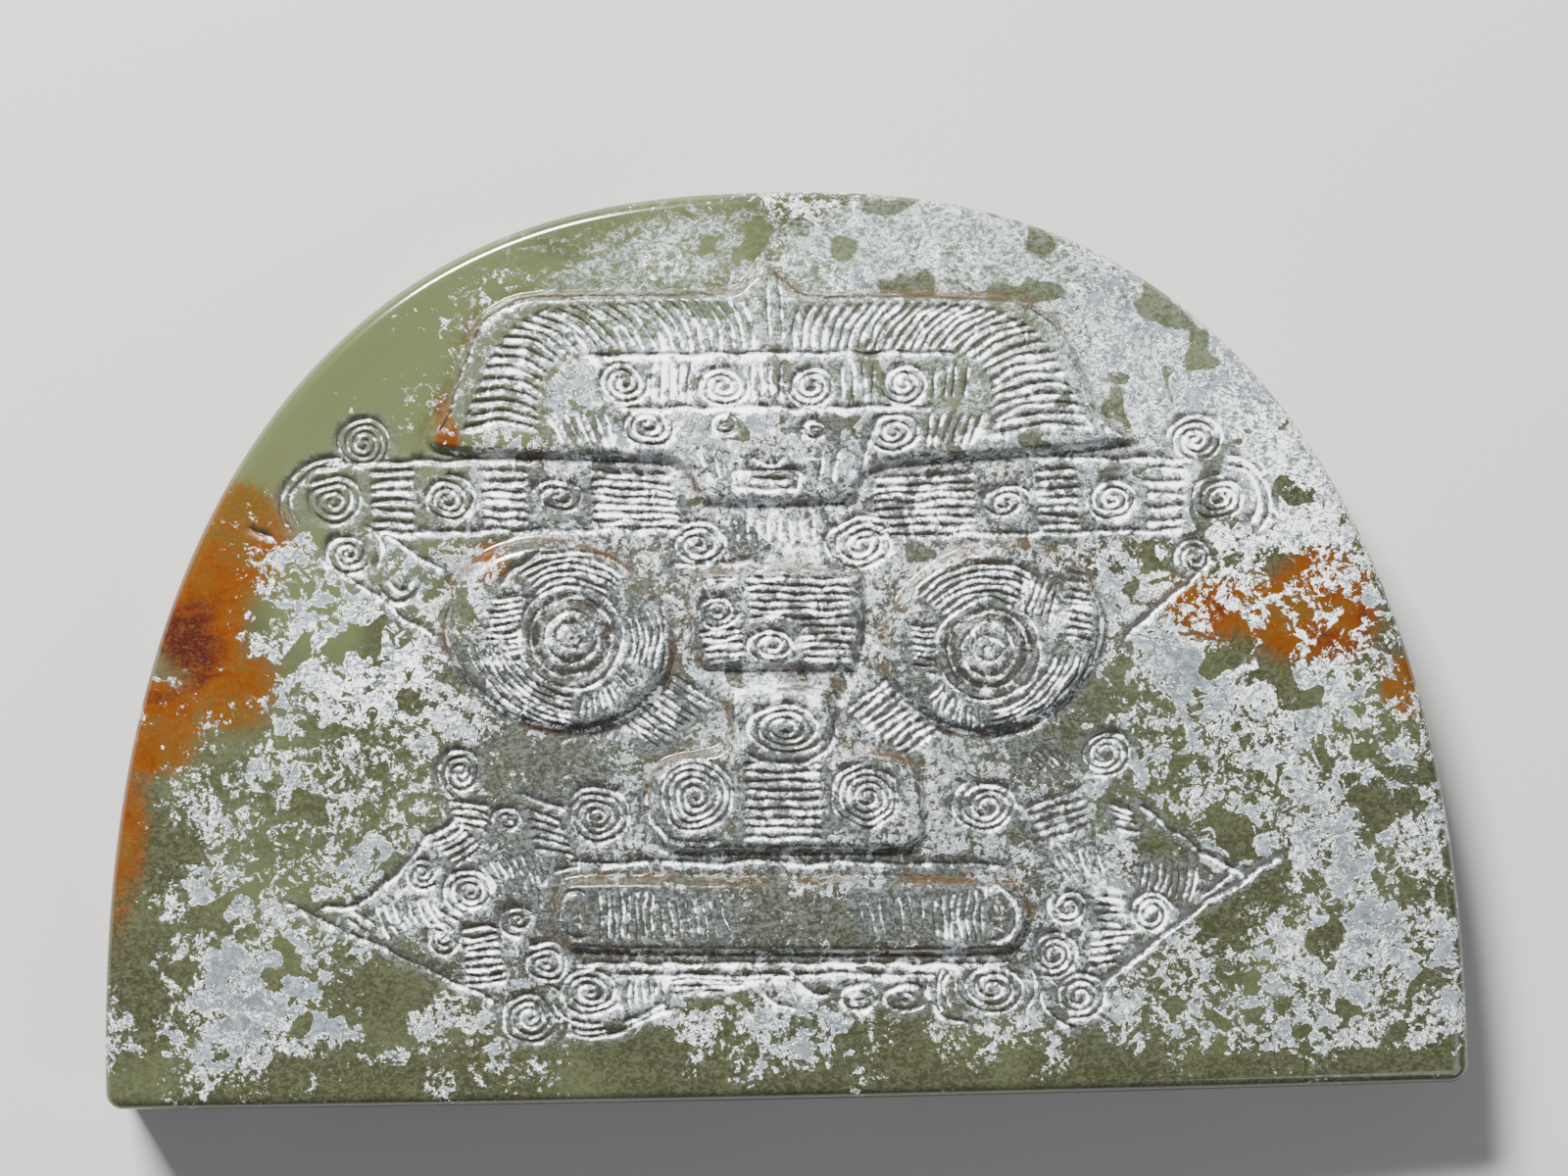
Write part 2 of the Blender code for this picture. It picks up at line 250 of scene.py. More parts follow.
# %% Outlines of the raised forms
FORM_STEP = 0.25


def ring(x, y, across, up, start=0, end=360, tilt=0):
    """Ellipse, or its arc between two angles in degrees, turned by tilt degrees."""
    count = max(int(abs(end - start) * math.pi / 180 * max(across, up) / FORM_STEP), 8)
    angle = np.radians(np.linspace(start, end, count + 1))
    turn = math.radians(tilt)
    a = across * np.cos(angle)
    b = up * np.sin(angle)
    return np.column_stack([x + a * math.cos(turn) - b * math.sin(turn),
                            y + a * math.sin(turn) + b * math.cos(turn)])


def corners(*sides):
    """Closed outline of smooth sides that meet at sharp corners."""
    return np.vstack([smooth(side)[:-1] for side in sides])


headdress = corners(
    [(-0.3, 45.8), (0.3, 44.6), (1.3, 43.8), (2.9, 43.5), (7.6, 43.4), (12.3, 43.1), (13.8, 42.8),
     (15.1, 42.1), (16, 40.9), (16.7, 39.5), (17.3, 37.7), (18.3, 36.3), (19.8, 35)],
    [(19.8, 35), (16.2, 34.6), (11.4, 34.3), (6.5, 34), (4.9, 33.5), (4.4, 32.1)],
    [(4.4, 32.1), (0, 32), (-3.9, 32.1)],
    [(-3.9, 32.1), (-4.4, 33.2), (-5, 34.1), (-6.8, 34.5), (-12, 34.8), (-17.9, 35.2),
     (-18.9, 36.2)],
    [(-18.9, 36.2), (-18, 37.5), (-17.3, 39), (-16.4, 41.5), (-15.7, 42.6), (-14.4, 43.4),
     (-12.7, 43.8), (-7.8, 43.8), (-2.8, 43.7), (-1.5, 44.2), (-0.3, 45.8)])
left_eye = ring(-11.8, 25.25, 6.45, 5.15, tilt=-20)[:-1]
right_eye = ring(11.6, 24.65, 6.3, 5.1, tilt=20)[:-1]
bridge = corners(
    [(-4.7, 28.6), (0, 28.8), (4.7, 28.4)], [(4.7, 28.4), (4.8, 26), (4.2, 23.1)],
    [(4.2, 23.1), (0, 23.2), (-4.1, 23.3)], [(-4.1, 23.3), (-4.8, 26), (-4.7, 28.6)])
nose = corners(
    [(-2.9, 22.4), (0, 22.5), (3.1, 22.2)],
    [(3.1, 22.2), (3.1, 20.2), (3.6, 19), (6, 18.6), (7.3, 17.9), (7.7, 16.8), (7.8, 15),
     (7.5, 13.8), (6.5, 13.3), (3, 13.3), (0, 13.35), (-3, 13.4), (-5.8, 13.5),
     (-6.8, 14), (-7.1, 15.2), (-7.1, 17.2), (-6.6, 18.3), (-5.4, 18.8), (-3.4, 19.1),
     (-2.8, 20.2), (-2.9, 22.4)])
mouth = smooth([
    (-10.3, 12.3), (0, 12.05), (11.2, 11.75), (12.7, 11.2), (13.3, 9.8), (12.8, 8.3),
    (11.2, 7.7), (0, 7.9), (-10.3, 8.2), (-11.9, 8.8), (-12.5, 10.2), (-11.9, 11.8)], closed=True)

forms = (
    # outline, height of the top above the plate, width of the bevel
    (headdress, 0.7, 0.6),
    (left_eye, 0.7, 0.9),
    (right_eye, 0.7, 0.9),
    (bridge, 0.7, 0.55),
    (nose, 0.72, 0.6),
    (mouth, 0.6, 0.6))
print(f"{len(forms)} raised forms")

# %% [markdown]
# Cut lines. All the rest of the carving is fine lines, incised by hand with a hard point: feathers,
# spirals, hatching, rings round the pupils, teeth, arms and bent legs. A bump texture could draw
# them, but grooves in the mesh throw real shade. So a line is a V-shaped profile carried along a
# path. Most lines belong to one of three families: a spiral, a set of rows between two rails, and a
# set of arcs round a centre.

# %% Families of cut lines
LINE_WIDTH = 0.34
LINE_DEPTH = 0.14
BROAD = 0.36
MEDIUM = 0.32
SLIM = 0.3
FINE = 0.28
THIN = 0.27
HAIR = 0.24
SPIRAL_DEPTH = 0.12
SPIRAL_PITCH = 0.38
SPIRAL_HEART = 0.12
POINTS_A_TURN = 28
PATH_STEP = 0.2
STRAY = 0.1625
STRAY_LENGTH = 2.2
lines = []


def cut(path, width=LINE_WIDTH, depth=LINE_DEPTH):
    """One cut line, kept as a path with even steps, its width and its depth. The hand that cut it
    strays a little from the drawn path."""
    path = even_steps(path, PATH_STEP)
    stray = waves(path, STRAY_LENGTH, STRAY, len(lines))
    lines.append((path + stray[:, None] * sideways(path), width, depth))


def draw(points, width=LINE_WIDTH, depth=LINE_DEPTH):
    """A cut line that runs smoothly through the points."""
    cut(smooth(points), width, depth)


def bowed(a, b, bow, width, depth):
    """A cut line between two points. Bow bends it sideways by a share of its length."""
    middle = (a + b) / 2 + bow * np.array([b[1] - a[1], a[0] - b[0]])
    draw([a, middle, b], width, depth)


def spiral(x, y, across, up, hand=1, start=90):
    """Line that winds outwards: its distance from the middle grows evenly with its angle."""
    turns = (1 - SPIRAL_HEART) * min(across, up) / SPIRAL_PITCH
    share = np.linspace(0, 1, int(turns * POINTS_A_TURN) + 2)
    angle = np.radians(start) + hand * 2 * np.pi * turns * share
    size = SPIRAL_HEART + (1 - SPIRAL_HEART) * share
    cut(np.column_stack([x + across * size * np.cos(angle), y + up * size * np.sin(angle)]),
        FINE, SPIRAL_DEPTH)


def rows(first, last, count, width=LINE_WIDTH, bow=0, depth=LINE_DEPTH):
    """Lines side by side, from the first to the last."""
    first = np.asarray(first, float)
    last = np.asarray(last, float)
    for share in np.linspace(0, 1, count):
        bowed(*(first + (last - first) * share), bow, width, depth)


def arcs(x, y, first, last, count, start, end, width=LINE_WIDTH, tilt=0):
    """Arcs round a centre, from the first pair of radii to the last."""
    for share in np.linspace(0, 1, count):
        across = first[0] + (last[0] - first[0]) * share
        up = first[1] + (last[1] - first[1]) * share
        cut(ring(x, y, across, up, start, end, tilt), width)


# %% [markdown]
# Headdress. Plumes fan out from the brim to a plain band along the edge. They stand upright in the
# middle and lie down towards the sides, so they are shared out evenly between two smooth paths
# instead of placed one by one. The brim below carries a row of spirals with upright bars between
# them, and the small face looks out from under it.

# %% Feathers, brim and small face
PLUME_DEPTH = 0.16


def plumes(roots, tips, count, bow):
    """Lines from one smooth path to another, at equal shares of their lengths."""
    roots = even_steps(smooth(roots), 0.05)
    tips = even_steps(smooth(tips), 0.05)
    for share in np.linspace(0, 1, count):
        root = roots[round(share * (len(roots) - 1))]
        tip = tips[round(share * (len(tips) - 1))]
        bowed(root, tip, bow, LINE_WIDTH, PLUME_DEPTH)


plumes([(-1, 40.5), (-5.5, 40.5), (-9.4, 40.7), (-11.7, 39.9), (-12.5, 38.4), (-12.7, 36.3)],
       [(-1.6, 43.1), (-7.5, 43.1), (-11.8, 42.8), (-14.2, 41.6), (-15.6, 39.2), (-16.7, 36.5)],
       29, 0.10)
plumes([(1.2, 40.4), (5.5, 40.3), (9.4, 40.2), (11.2, 39.3), (11.8, 37.6), (11.9, 35.5)],
       [(1.7, 42.7), (7.5, 42.7), (12, 42.3), (14.3, 40.9), (15.8, 38.6), (17, 35.8)],
       30, -0.08)
for x in (-0.15, 0.55):
    cut([(x, 44.3), (x + 0.1, 41)], SLIM, PLUME_DEPTH)
draw([(0.4, 44.3), (1.5, 43.4), (3.1, 43.1), (7.6, 43), (12.1, 42.7), (13.6, 42.4), (14.7, 41.7),
      (15.5, 40.6), (16.2, 39.2), (16.8, 37.5), (17.7, 36.1), (18.9, 35.2)], 0.2, 0.08)
draw([(-17.9, 36.4), (-17.2, 37.8), (-16.7, 39.2), (-15.8, 41.5), (-15.2, 42.3), (-14.1, 43),
      (-12.6, 43.4), (-7.8, 43.4), (-2.9, 43.3)], 0.2, 0.08)

for x, y in ((-8, 38.8), (-2.7, 38.5), (2.1, 38.4), (7.1, 38.4)):
    spiral(x, y, 1.4, 1.2, 1 if x < 0 else -1)
rows([(-6.4, 39.8), (-6.4, 37.8)], [(-4.4, 39.8), (-4.4, 37.8)], 5, MEDIUM)
rows([(-1.1, 39.7), (-1.1, 37.7)], [(0.5, 39.7), (0.5, 37.7)], 4, MEDIUM)
rows([(3.8, 39.6), (3.8, 37.6)], [(5.5, 39.6), (5.5, 37.6)], 4, MEDIUM)
rows([(8.9, 39.5), (8.7, 37.6)], [(10.6, 39.4), (10.3, 37.6)], 4, MEDIUM)
cut([(-9.9, 40.2), (0, 40.1), (9.8, 39.95)], BROAD)
cut([(-8.2, 37.35), (0, 37.25), (8.6, 37)], BROAD)

spiral(-6.75, 36.4, 1.5, 1.2)
spiral(6.5, 35.8, 1.45, 1.15, -1)
rows([(-12.3, 37.2), (-11.3, 35.5)], [(-9, 37.2), (-8.5, 35.4)], 7)
rows([(8.2, 35.1), (8.6, 36.8)], [(10.6, 35.1), (11.3, 36.7)], 6, MEDIUM)
draw([(5.45, 36.1), (5.1, 34.9), (4.75, 33.8)], BROAD)
for x, y in ((-2.65, 36.4), (2.2, 36)):
    cut(ring(x, y, 0.62, 0.5), SLIM)
    cut(ring(x, y, 0.2, 0.16), 0.2)
cut(ring(-0.3, 34.75, 0.9, 0.55, 190, 350), SLIM)
cut(smooth([(-1.9, 33.9), (1.1, 33.8), (1.3, 33.3), (1, 32.85), (-1.9, 32.95), (-2.1, 33.4)],
           closed=True), FINE)
cut([(-1.3, 33.4), (0.7, 33.3)], HAIR)
rows([(-3.9, 35), (-3.3, 33.2)], [(-3.2, 35), (-2.8, 33.4)], 2, FINE)
rows([(2.7, 34.9), (2.5, 33.4)], [(3.5, 34.9), (3.1, 33.2)], 2, FINE)
print(f"{len(lines)} lines after the headdress")

# %% [markdown]
# Arms. They reach out on both sides of the small face, and end in a bent elbow from which the
# forearm slants back down to the eye. The spirals come first, because they carry the pattern, and
# rows fill what is left between them.

# %% Arms
for x, y, across, up, hand in (
        (-23.8, 32.7, 1.7, 1.35, 1), (-17.6, 32.7, 1.55, 1.3, 1), (-11.6, 32.7, 1.5, 0.95, 1),
        (-22.2, 35.8, 1.55, 1.45, -1), (-23.1, 29.9, 1.35, 1.15, 1),
        (12.4, 31.9, 1.4, 0.95, -1), (18.2, 32, 1.5, 1.2, -1), (24, 31.9, 1.6, 1.3, -1),
        (22.8, 35.1, 1.55, 1.4, 1)):
    spiral(x, y, across, up, hand)
rows([(-15.8, 34.1), (-13.3, 34)], [(-15.8, 31.5), (-13.3, 31.4)], 6)
rows([(-9.9, 34), (-5.6, 33.6)], [(-9.9, 31.3), (-5, 31.2)], 7, MEDIUM)
rows([(-21.8, 34.2), (-19.4, 34.3)], [(-21.8, 31.6), (-19.4, 31.4)], 6)
rows([(5.4, 33.3), (10.8, 33.4)], [(5.2, 30.7), (10.8, 30.7)], 7, MEDIUM)
rows([(14.1, 33.5), (16.4, 33.5)], [(14.1, 30.6), (16.4, 30.6)], 7, MEDIUM)
rows([(20, 33.5), (22.1, 33.5)], [(20, 30.8), (22.1, 30.7)], 5)
cut([(-24.2, 34.75), (-14, 34.75), (-13, 34.7)])
cut([(14, 34.2), (23.6, 34)])
cut([(-22, 31), (-5.2, 30.8)])
cut([(5, 30.2), (22, 30.2)])
arcs(-23.8, 32.6, (2.3, 1.95), (2.85, 2.4), 2, 80, 215)
arcs(24, 31.8, (2.2, 1.9), (2.8, 2.4), 2, -40, 80)
draw([(-24.4, 29.4), (-21.6, 27.5), (-18.5, 25.2)], BROAD)
draw([(-21.1, 30.8), (-19.4, 29.7), (-17.8, 28.7)])
cut([(-28.5, 31.4), (-27, 30.8)], FINE)
cut(ring(-23.1, 29.9, 1.9, 1.7, -30, 60))
arcs(-20.3, 28.7, (0.7, 0.9), (1.3, 1.5), 2, 200, 340)
draw([(23.6, 28.6), (21.2, 26.6), (18.6, 24.4)], SLIM)
spiral(22.6, 28.7, 1.1, 1)
print(f"{len(lines)} lines after the arms")

# %% [markdown]
# Eyes. A raised pupil sits in a sunk ring. Fine arcs follow the lids, short rows fill the corners,
# and slanting hatching runs from each eye down to the nose. One loop makes what the eyes share,
# turned opposite ways, and what differs follows it.

# %% Eyes
RING_WIDTH = 1
for side, x, y in ((-1, -11.05, 25.15), (1, 11.3, 24)):
    tilt = 20 * side
    cut(ring(x, y, 2.05, 2), RING_WIDTH, 0.13)
    cut(ring(x, y, 2.15, 2.1), HAIR, 0.1)
    cut(ring(x, y, 1.42, 1.4), THIN, 0.1)
    cut(ring(x, y, 0.8, 0.7), HAIR, 0.08)
    cut(ring(x, y, 0.25, 0.2), HAIR, 0.1)
    cut(ring(x, y, 2.8, 2.72), THIN, 0.12)
    low_turn = (208, 285) if side < 0 else (255, 332)
    arcs(x - 0.1 * side, y, (3.8, 3.2), (5.9, 4.75), 6, *low_turn, THIN, tilt)
    top_turn = (48, 126) if side < 0 else (54, 140)
    arcs(x, y, (3.2, 3.1), (4.7, 4.6), 5, *top_turn, THIN)
    for angle in np.linspace(-80, -34, 9):
        turn = math.radians(angle if side < 0 else 180 - angle)
        ray = np.array([math.cos(turn), math.sin(turn)])
        cut([(x, y) + 3.1 * ray, (x, y) + 4.4 * ray + 0.35 * side * np.array([1, 0])], THIN)
arcs(-11.05, 25.15, (3.3, 3.2), (5.1, 5), 6, -24, 20, THIN)
rows([(-15.3, 27.3), (-13.7, 27.4)], [(-15.9, 23.9), (-13.6, 24.1)], 10, THIN, 0.03)
rows([(7.1, 25.4), (8.6, 25.3)], [(7.2, 23), (8.5, 22.8)], 8, THIN, 0.03)
rows([(12.7, 26.2), (13.6, 28.3)], [(14.6, 25.5), (15.2, 27.6)], 6, THIN)
rows([(15.6, 28), (16.8, 27.8)], [(15.5, 24.6), (17, 24.3)], 9, THIN)
rows([(-8.7, 20.5), (-6.5, 19.1)], [(-5.9, 23.1), (-3.5, 21.5)], 10, SLIM)
rows([(8.7, 19.8), (6.6, 18.5)], [(5.9, 22.5), (3.6, 20.9)], 9, SLIM)
draw([(-14.9, 27.9), (-14, 28.9), (-12.6, 29.8)], THIN)
cut(ring(-11.8, 25.25, 6.1, 4.85, 185, 350, -20), SLIM, 0.1)
cut(ring(11.6, 24.65, 5.95, 4.8, 190, 355, 20), SLIM, 0.1)
print(f"{len(lines)} lines after the eyes")

# %% [markdown]
# Bridge and nose. Rows run across both, broken by spirals: one on the bridge, one on the tip and a
# large one on each wing.

# %% Bridge and nose
for x, y, across, up, hand in (
        (-4.2, 30, 1.6, 1.2, 1), (4.6, 29.8, 2.1, 1.5, -1), (-3.2, 26.4, 1.15, 1.05, 1),
        (-0.3, 24.5, 1.45, 0.95, 1), (0.3, 20.05, 2.3, 1.45, 1), (-4.6, 16.5, 2.15, 2.1, 1),
        (4.6, 16.3, 1.95, 1.85, -1)):
    spiral(x, y, across, up, hand, 200)
rows([(-2.1, 31.4), (-2.1, 30.1)], [(2, 31.3), (2, 30.1)], 8, MEDIUM)
cut([(-5.6, 28.95), (-1, 28.9)])
rows([(-1.6, 28.1), (3.9, 27.9)], [(-1.5, 26), (3.9, 25.8)], 6, FINE)
rows([(-4.3, 25.2), (-1.9, 25.4)], [(-3.8, 23.7), (-1.7, 23.75)], 5, FINE)
rows([(1.3, 25.4), (4.3, 25.3)], [(1.3, 23.75), (3.9, 23.7)], 5, FINE)
rows([(-4, 28.2), (-2.3, 28.1)], [(-4, 27.85), (-2.5, 27.8)], 2, FINE)
rows([(-2, 18.2), (2.2, 18.1)], [(-1.9, 14.2), (2.2, 14.1)], 9, MEDIUM)
cut(ring(-4.6, 16.4, 2.6, 2.55, 170, 300))
cut(ring(0.3, 20.05, 2.75, 2, -140, 10), FINE)
cut([(-2.4, 22), (-2.35, 21), (-2.2, 19.9)], SLIM)
print(f"{len(lines)} lines after the nose")

# %% [markdown]
# Mouth. A round mark closes each end of the bar. Beside them stand rows of teeth, the middle is
# nearly worn plain, and thin lips are drawn above and below. Worn strokes are shallow ones, so that
# light shows them faintly.

# %% Mouth
cut(ring(-11, 10.25, 0.95, 1.35, 60, 300))
rows([(-9.8, 11.6), (-9.8, 8.9)], [(-7, 11.5), (-7, 8.8)], 8, FINE)
rows([(-6.5, 11.2), (-6.3, 8.9)], [(-3.9, 11), (-3.6, 8.8)], 7, HAIR, depth=0.1)
rows([(8.3, 11), (8.2, 8.6)], [(10.8, 11.3), (10.8, 8.2)], 7, SLIM, 0.05)
cut(ring(11.4, 9.75, 1.1, 1.4, -110, 110))
draw([(-3.4, 11.3), (-3.2, 10.1), (-2.7, 8.6)], 0.26)
rows([(3.9, 11), (4.4, 8.9)], [(7.4, 11), (7.6, 8.8)], 7, HAIR, depth=0.07)
cut([(-11.4, 13), (0, 12.8), (12, 12.4)], BROAD)
cut([(-12.3, 12.55), (-10.8, 12.75), (-9, 12.75)], SLIM)
cut([(-11.2, 7.6), (0, 7.35), (12.2, 7.1)])
cut([(-9.2, 6.9), (0, 6.75), (8.2, 6.65)], SLIM)
print(f"{len(lines)} lines after the mouth")

# %% [markdown]
# Legs. They are drawn only in line, like squatting legs with the knees far out: spirals for joints,
# hatching for fur, a long line for each shin, and claws below the mouth.

# %% Legs and claws
for x, y, across, up, hand in (
        (-17.2, 18, 1.3, 1.35, 1), (-9.8, 15.5, 1.85, 1.6, 1), (-14.7, 15.4, 0.85, 0.8, 1),
        (-19.35, 12.55, 1, 0.95, 1), (-16.8, 11.6, 1.45, 1.3, 1), (-14.3, 10, 1.1, 0.9, 1),
        (-18.4, 9.1, 1.05, 1, 1), (-12.9, 7.65, 1.35, 1.15, 1), (-10.5, 6.15, 1.75, 1.4, 1),
        (-13.75, 4.8, 1.7, 1.45, 1), (11, 15.65, 1.9, 1.45, -1), (15.35, 10.1, 1.25, 1, -1),
        (19.8, 9.6, 1.25, 1.15, -1), (14.5, 7.6, 1.45, 1.3, -1), (11.1, 5.85, 1.95, 1.4, -1),
        (15.85, 5.3, 1.5, 1.3, -1), (17.5, 18.3, 1.5, 1.3, -1)):
    spiral(x, y, across, up, hand, 250)
draw([(-26.8, 11.1), (-24.4, 9.9), (-22.1, 8.7), (-19.5, 7.5), (-17.4, 6.4), (-15.6, 5.6)], 0.4)
draw([(-24.9, 10.7), (-22.6, 11.1), (-20.9, 12.4), (-19.7, 13.6), (-18.9, 14.8)])
cut([(-14.1, 16.7), (-11.6, 15.9)])
cut([(-8.7, 4.4), (-6.4, 5.4)])
rows([(-17.9, 16.4), (-15.7, 16.1)], [(-17.5, 15.2), (-15.8, 14.8)], 4, FINE)
rows([(-13.7, 15.9), (-11.8, 15.2)], [(-13.3, 13.9), (-11.2, 13.4)], 5, SLIM)
rows([(-19.1, 14.5), (-17.4, 15.4)], [(-17.6, 13.1), (-16, 14)], 6, SLIM, 0.06)
rows([(-16.3, 13.1), (-15.2, 11.3)], [(-13.2, 13.9), (-12.7, 11.7)], 8, SLIM, -0.06)
rows([(-17.3, 9.5), (-15.4, 9.6)], [(-17.2, 6.6), (-14.9, 6.7)], 8, SLIM)
arcs(-16.8, 11.7, (2.05, 1.95), (3, 2.8), 3, 190, 250, SLIM)
arcs(-16.8, 11.7, (3.4, 3.2), (5.2, 4.8), 5, 189, 214, SLIM)
rows([(-23.6, 10.3), (-22.4, 9.4)], [(-23.3, 10.7), (-22, 9.8)], 2, SLIM)
cut(ring(-13.75, 4.8, 2.15, 1.9, -40, 65), FINE)
arcs(-10.5, 6.15, (2.15, 1.8), (2.6, 2.2), 2, 200, 290, FINE)
draw([(-12.5, 12.6), (-12.95, 11.6), (-12.95, 10.5)], MEDIUM)
rows([(-8.3, 7), (-8.3, 5.3)], [(-6.5, 7), (-6.5, 5.9)], 6, FINE)
rows([(-6, 6.6), (-1, 6.5)], [(-6, 5.9), (-3.2, 6)], 3, FINE)
draw([(-11.9, 3.9), (-9.8, 3.6), (-7.8, 4.5), (-6, 5)], SLIM)
draw([(26.9, 12.5), (24.7, 11.2), (22.3, 9.7), (20.2, 8.2), (18.2, 6.7), (17.2, 5.8)], 0.38)
draw([(19.3, 15.5), (21.4, 13.7), (23.4, 12.3), (25, 11.5)])
rows([(19.6, 12.5), (19.3, 11.1)], [(22.2, 12.2), (21.8, 10.1)], 8, THIN, -0.08)
rows([(22.5, 10.5), (24.3, 11.6)], [(22.9, 10.1), (24.6, 11.2)], 2, FINE)
rows([(16.5, 8.7), (18.9, 8.8)], [(16.4, 6.8), (17.9, 7.1)], 5, FINE)
rows([(16.8, 10.5), (18.2, 10.4)], [(16.8, 9.2), (18.2, 9.1)], 4, FINE)
rows([(17.6, 15.5), (18.9, 15.1)], [(18, 14.3), (19.3, 14)], 4, FINE)
rows([(13.2, 15.4), (16.2, 16.4)], [(13.6, 13.6), (16.6, 14.4)], 5, HAIR, depth=0.08)
rows([(14, 13), (15, 11.6)], [(16.8, 13.3), (17.4, 11.8)], 7, HAIR, 0.06, 0.08)
rows([(12.9, 18.4), (14, 17.3)], [(14.6, 18.8), (15.6, 17.6)], 5, HAIR, depth=0.08)
for x, y, across, up in ((3.9, 5.5, 1, 0.7), (6.5, 5.4, 1.2, 0.7)):
    cut(ring(x, y, across, up), BROAD)
    cut(ring(x, y, 0.4, 0.22), 0.26)
arcs(11.1, 5.85, (2.5, 1.9), (3.4, 2.7), 3, 150, 212, FINE)
cut(ring(11.1, 5.85, 2.4, 1.8, -40, 25), FINE)
cut(ring(15.85, 5.3, 2, 1.75, 165, 265), FINE)
draw([(7.4, 5.3), (8.4, 4.4), (9.8, 3.9)])
draw([(0.3, 7), (0.9, 6), (1.9, 5.7), (2.5, 5.9)], SLIM)
draw([(-1.2, 5.9), (-0.4, 5.2), (0.6, 4.9)], FINE)
print(f"{len(lines)} cut lines in all")

# %% [markdown]
# Points of the front. An even grid would need millions of points to keep hair-fine lines crisp,
# so the points are sown where the carving is: rows of them along each line, rings along each
# bevel, and a loose honeycomb on the plain stone. A sheet of small cells keeps them apart: each
# sown point darkens a disc of cells, and a later point is kept only on a light cell.

# %% Sow the points
CELL = 0.04
sheet_corner = np.array([-WIDE / 2 - 1, -1])
dark = np.zeros((int((TALL + 2) / CELL), int((WIDE + 2) / CELL)), bool)


def darken(points, radius):
    """Darken the cells within a radius of each point."""
    column, row = np.floor((points - sheet_corner) / CELL).astype(int).T
    reach = int(radius / CELL)
    side = np.arange(-reach, reach + 1)
    dx, dy = np.meshgrid(side, side)
    disc = dx ** 2 + dy ** 2 <= (radius / CELL) ** 2
    dark[np.clip(row[:, None] + dy[disc], 0, dark.shape[0] - 1),
         np.clip(column[:, None] + dx[disc], 0, dark.shape[1] - 1)] = True


def sow(points, radius):
    """Keep the points that fall on light cells inside the border, and darken round them."""
    column, row = np.floor((points - sheet_corner) / CELL).astype(int).T
    free = ~dark[np.clip(row, 0, dark.shape[0] - 1), np.clip(column, 0, dark.shape[1] - 1)]
    kept = points[free]
    kept = kept[within(kept, border)]
    darken(kept, radius)
    return kept


def side_by_side(path, offsets, closed=False):
    """Copies of a path moved sideways by each offset."""
    across = sideways(path, closed)
    return np.vstack([path + offset * across for offset in offsets])


LINE_GAP = 0.08
BORDER_GAP = 0.16
PLAIN_GAP = 0.2
PLAIN_PITCH = 0.46
HONEYCOMB = 0.866
BEVEL_ROWS = np.array([-0.3, -0.12, 0, 0.25, 0.5, 0.75, 1])
ACROSS_LINE = 0.13
darken(border, BORDER_GAP)
sown = [border]
for shape, height, bevel in forms:
    path = even_steps(shape, FORM_STEP, closed=True)
    sown.append(sow(side_by_side(path, BEVEL_ROWS * bevel, True), LINE_GAP))
for path, width, depth in lines:
    count = 2 * math.ceil(width / 2 / ACROSS_LINE) + 1
    sown.append(sow(side_by_side(path, np.linspace(-width / 2, width / 2, count)), LINE_GAP))
darken(np.vstack(sown), PLAIN_GAP)
column, row = np.meshgrid(np.arange(-WIDE / 2, WIDE / 2, PLAIN_PITCH),
                          np.arange(0.5, TALL, PLAIN_PITCH * HONEYCOMB))
column = column + PLAIN_PITCH / 2 * (np.arange(len(column)) % 2)[:, None]
sown.append(sow(np.column_stack([column.ravel(), row.ravel()]), CELL))
front = np.vstack(sown)
print(f"{len(front)} points on the front, {len(sown[-1])} of them on plain stone")

# %% [markdown]
# Height of the front. The dome comes first, then the highest of the raised forms, then the deepest
# of the cut lines. It could be sculpted by hand, but worked out from distances every bevel and
# groove keeps its profile. Each point also keeps how near it is to the lower wall of a line, where
# white chalk has settled and a highlight is painted, to the upper wall, which gets painted shade,
# and to a form's foot, which gets brown painted shade.

# %% Work out the heights
def near(path, reach):
    """Numbers of the front's points in the path's box, made larger by reach on each side."""
    inside = (front > path.min(0) - reach) & (front < path.max(0) + reach)
    return np.flatnonzero(inside.all(1))


def highest(field, index, values):
    """Raise the field's numbers to the values where these are higher."""
    field[index] = np.maximum(field[index], values)


def on_line(points, path, width):
    """One on the path, falling evenly to nothing at half the width on each side."""
    return np.clip(1 - nearest(points, path)[0] / (width / 2), 0, 1)


MOAT_WIDTH = 0.55
MOAT_DEPTH = 0.08
BEVEL_CURVE = 1.3
FOOT_SHADE_PLACE = 0.1
FOOT_SHADE_REACH = 0.5
relief, moat, foot_shade, groove, chalk_and_highlight, shade, beside = np.zeros((7, len(front)))
for shape, height, bevel in forms:
    loop = np.vstack([even_steps(shape, 0.3, closed=True), shape[:1]])
    index = near(loop, MOAT_WIDTH)
    distance = nearest(front[index], loop)[0]
    distance = np.where(within(front[index], loop[:-1]), distance, -distance)
    step = np.sin(np.clip(distance / bevel, 0, 1) * np.pi / 2) ** BEVEL_CURVE
    highest(relief, index, height * step)
    highest(moat, index, MOAT_DEPTH * ease(1 + distance / MOAT_WIDTH) * (distance < 0))
    # Brown painted shade in the crease round the foot of each form.
    highest(foot_shade, index, ease(1 - np.abs(distance - FOOT_SHADE_PLACE) / FOOT_SHADE_REACH))
moat *= relief <= 0

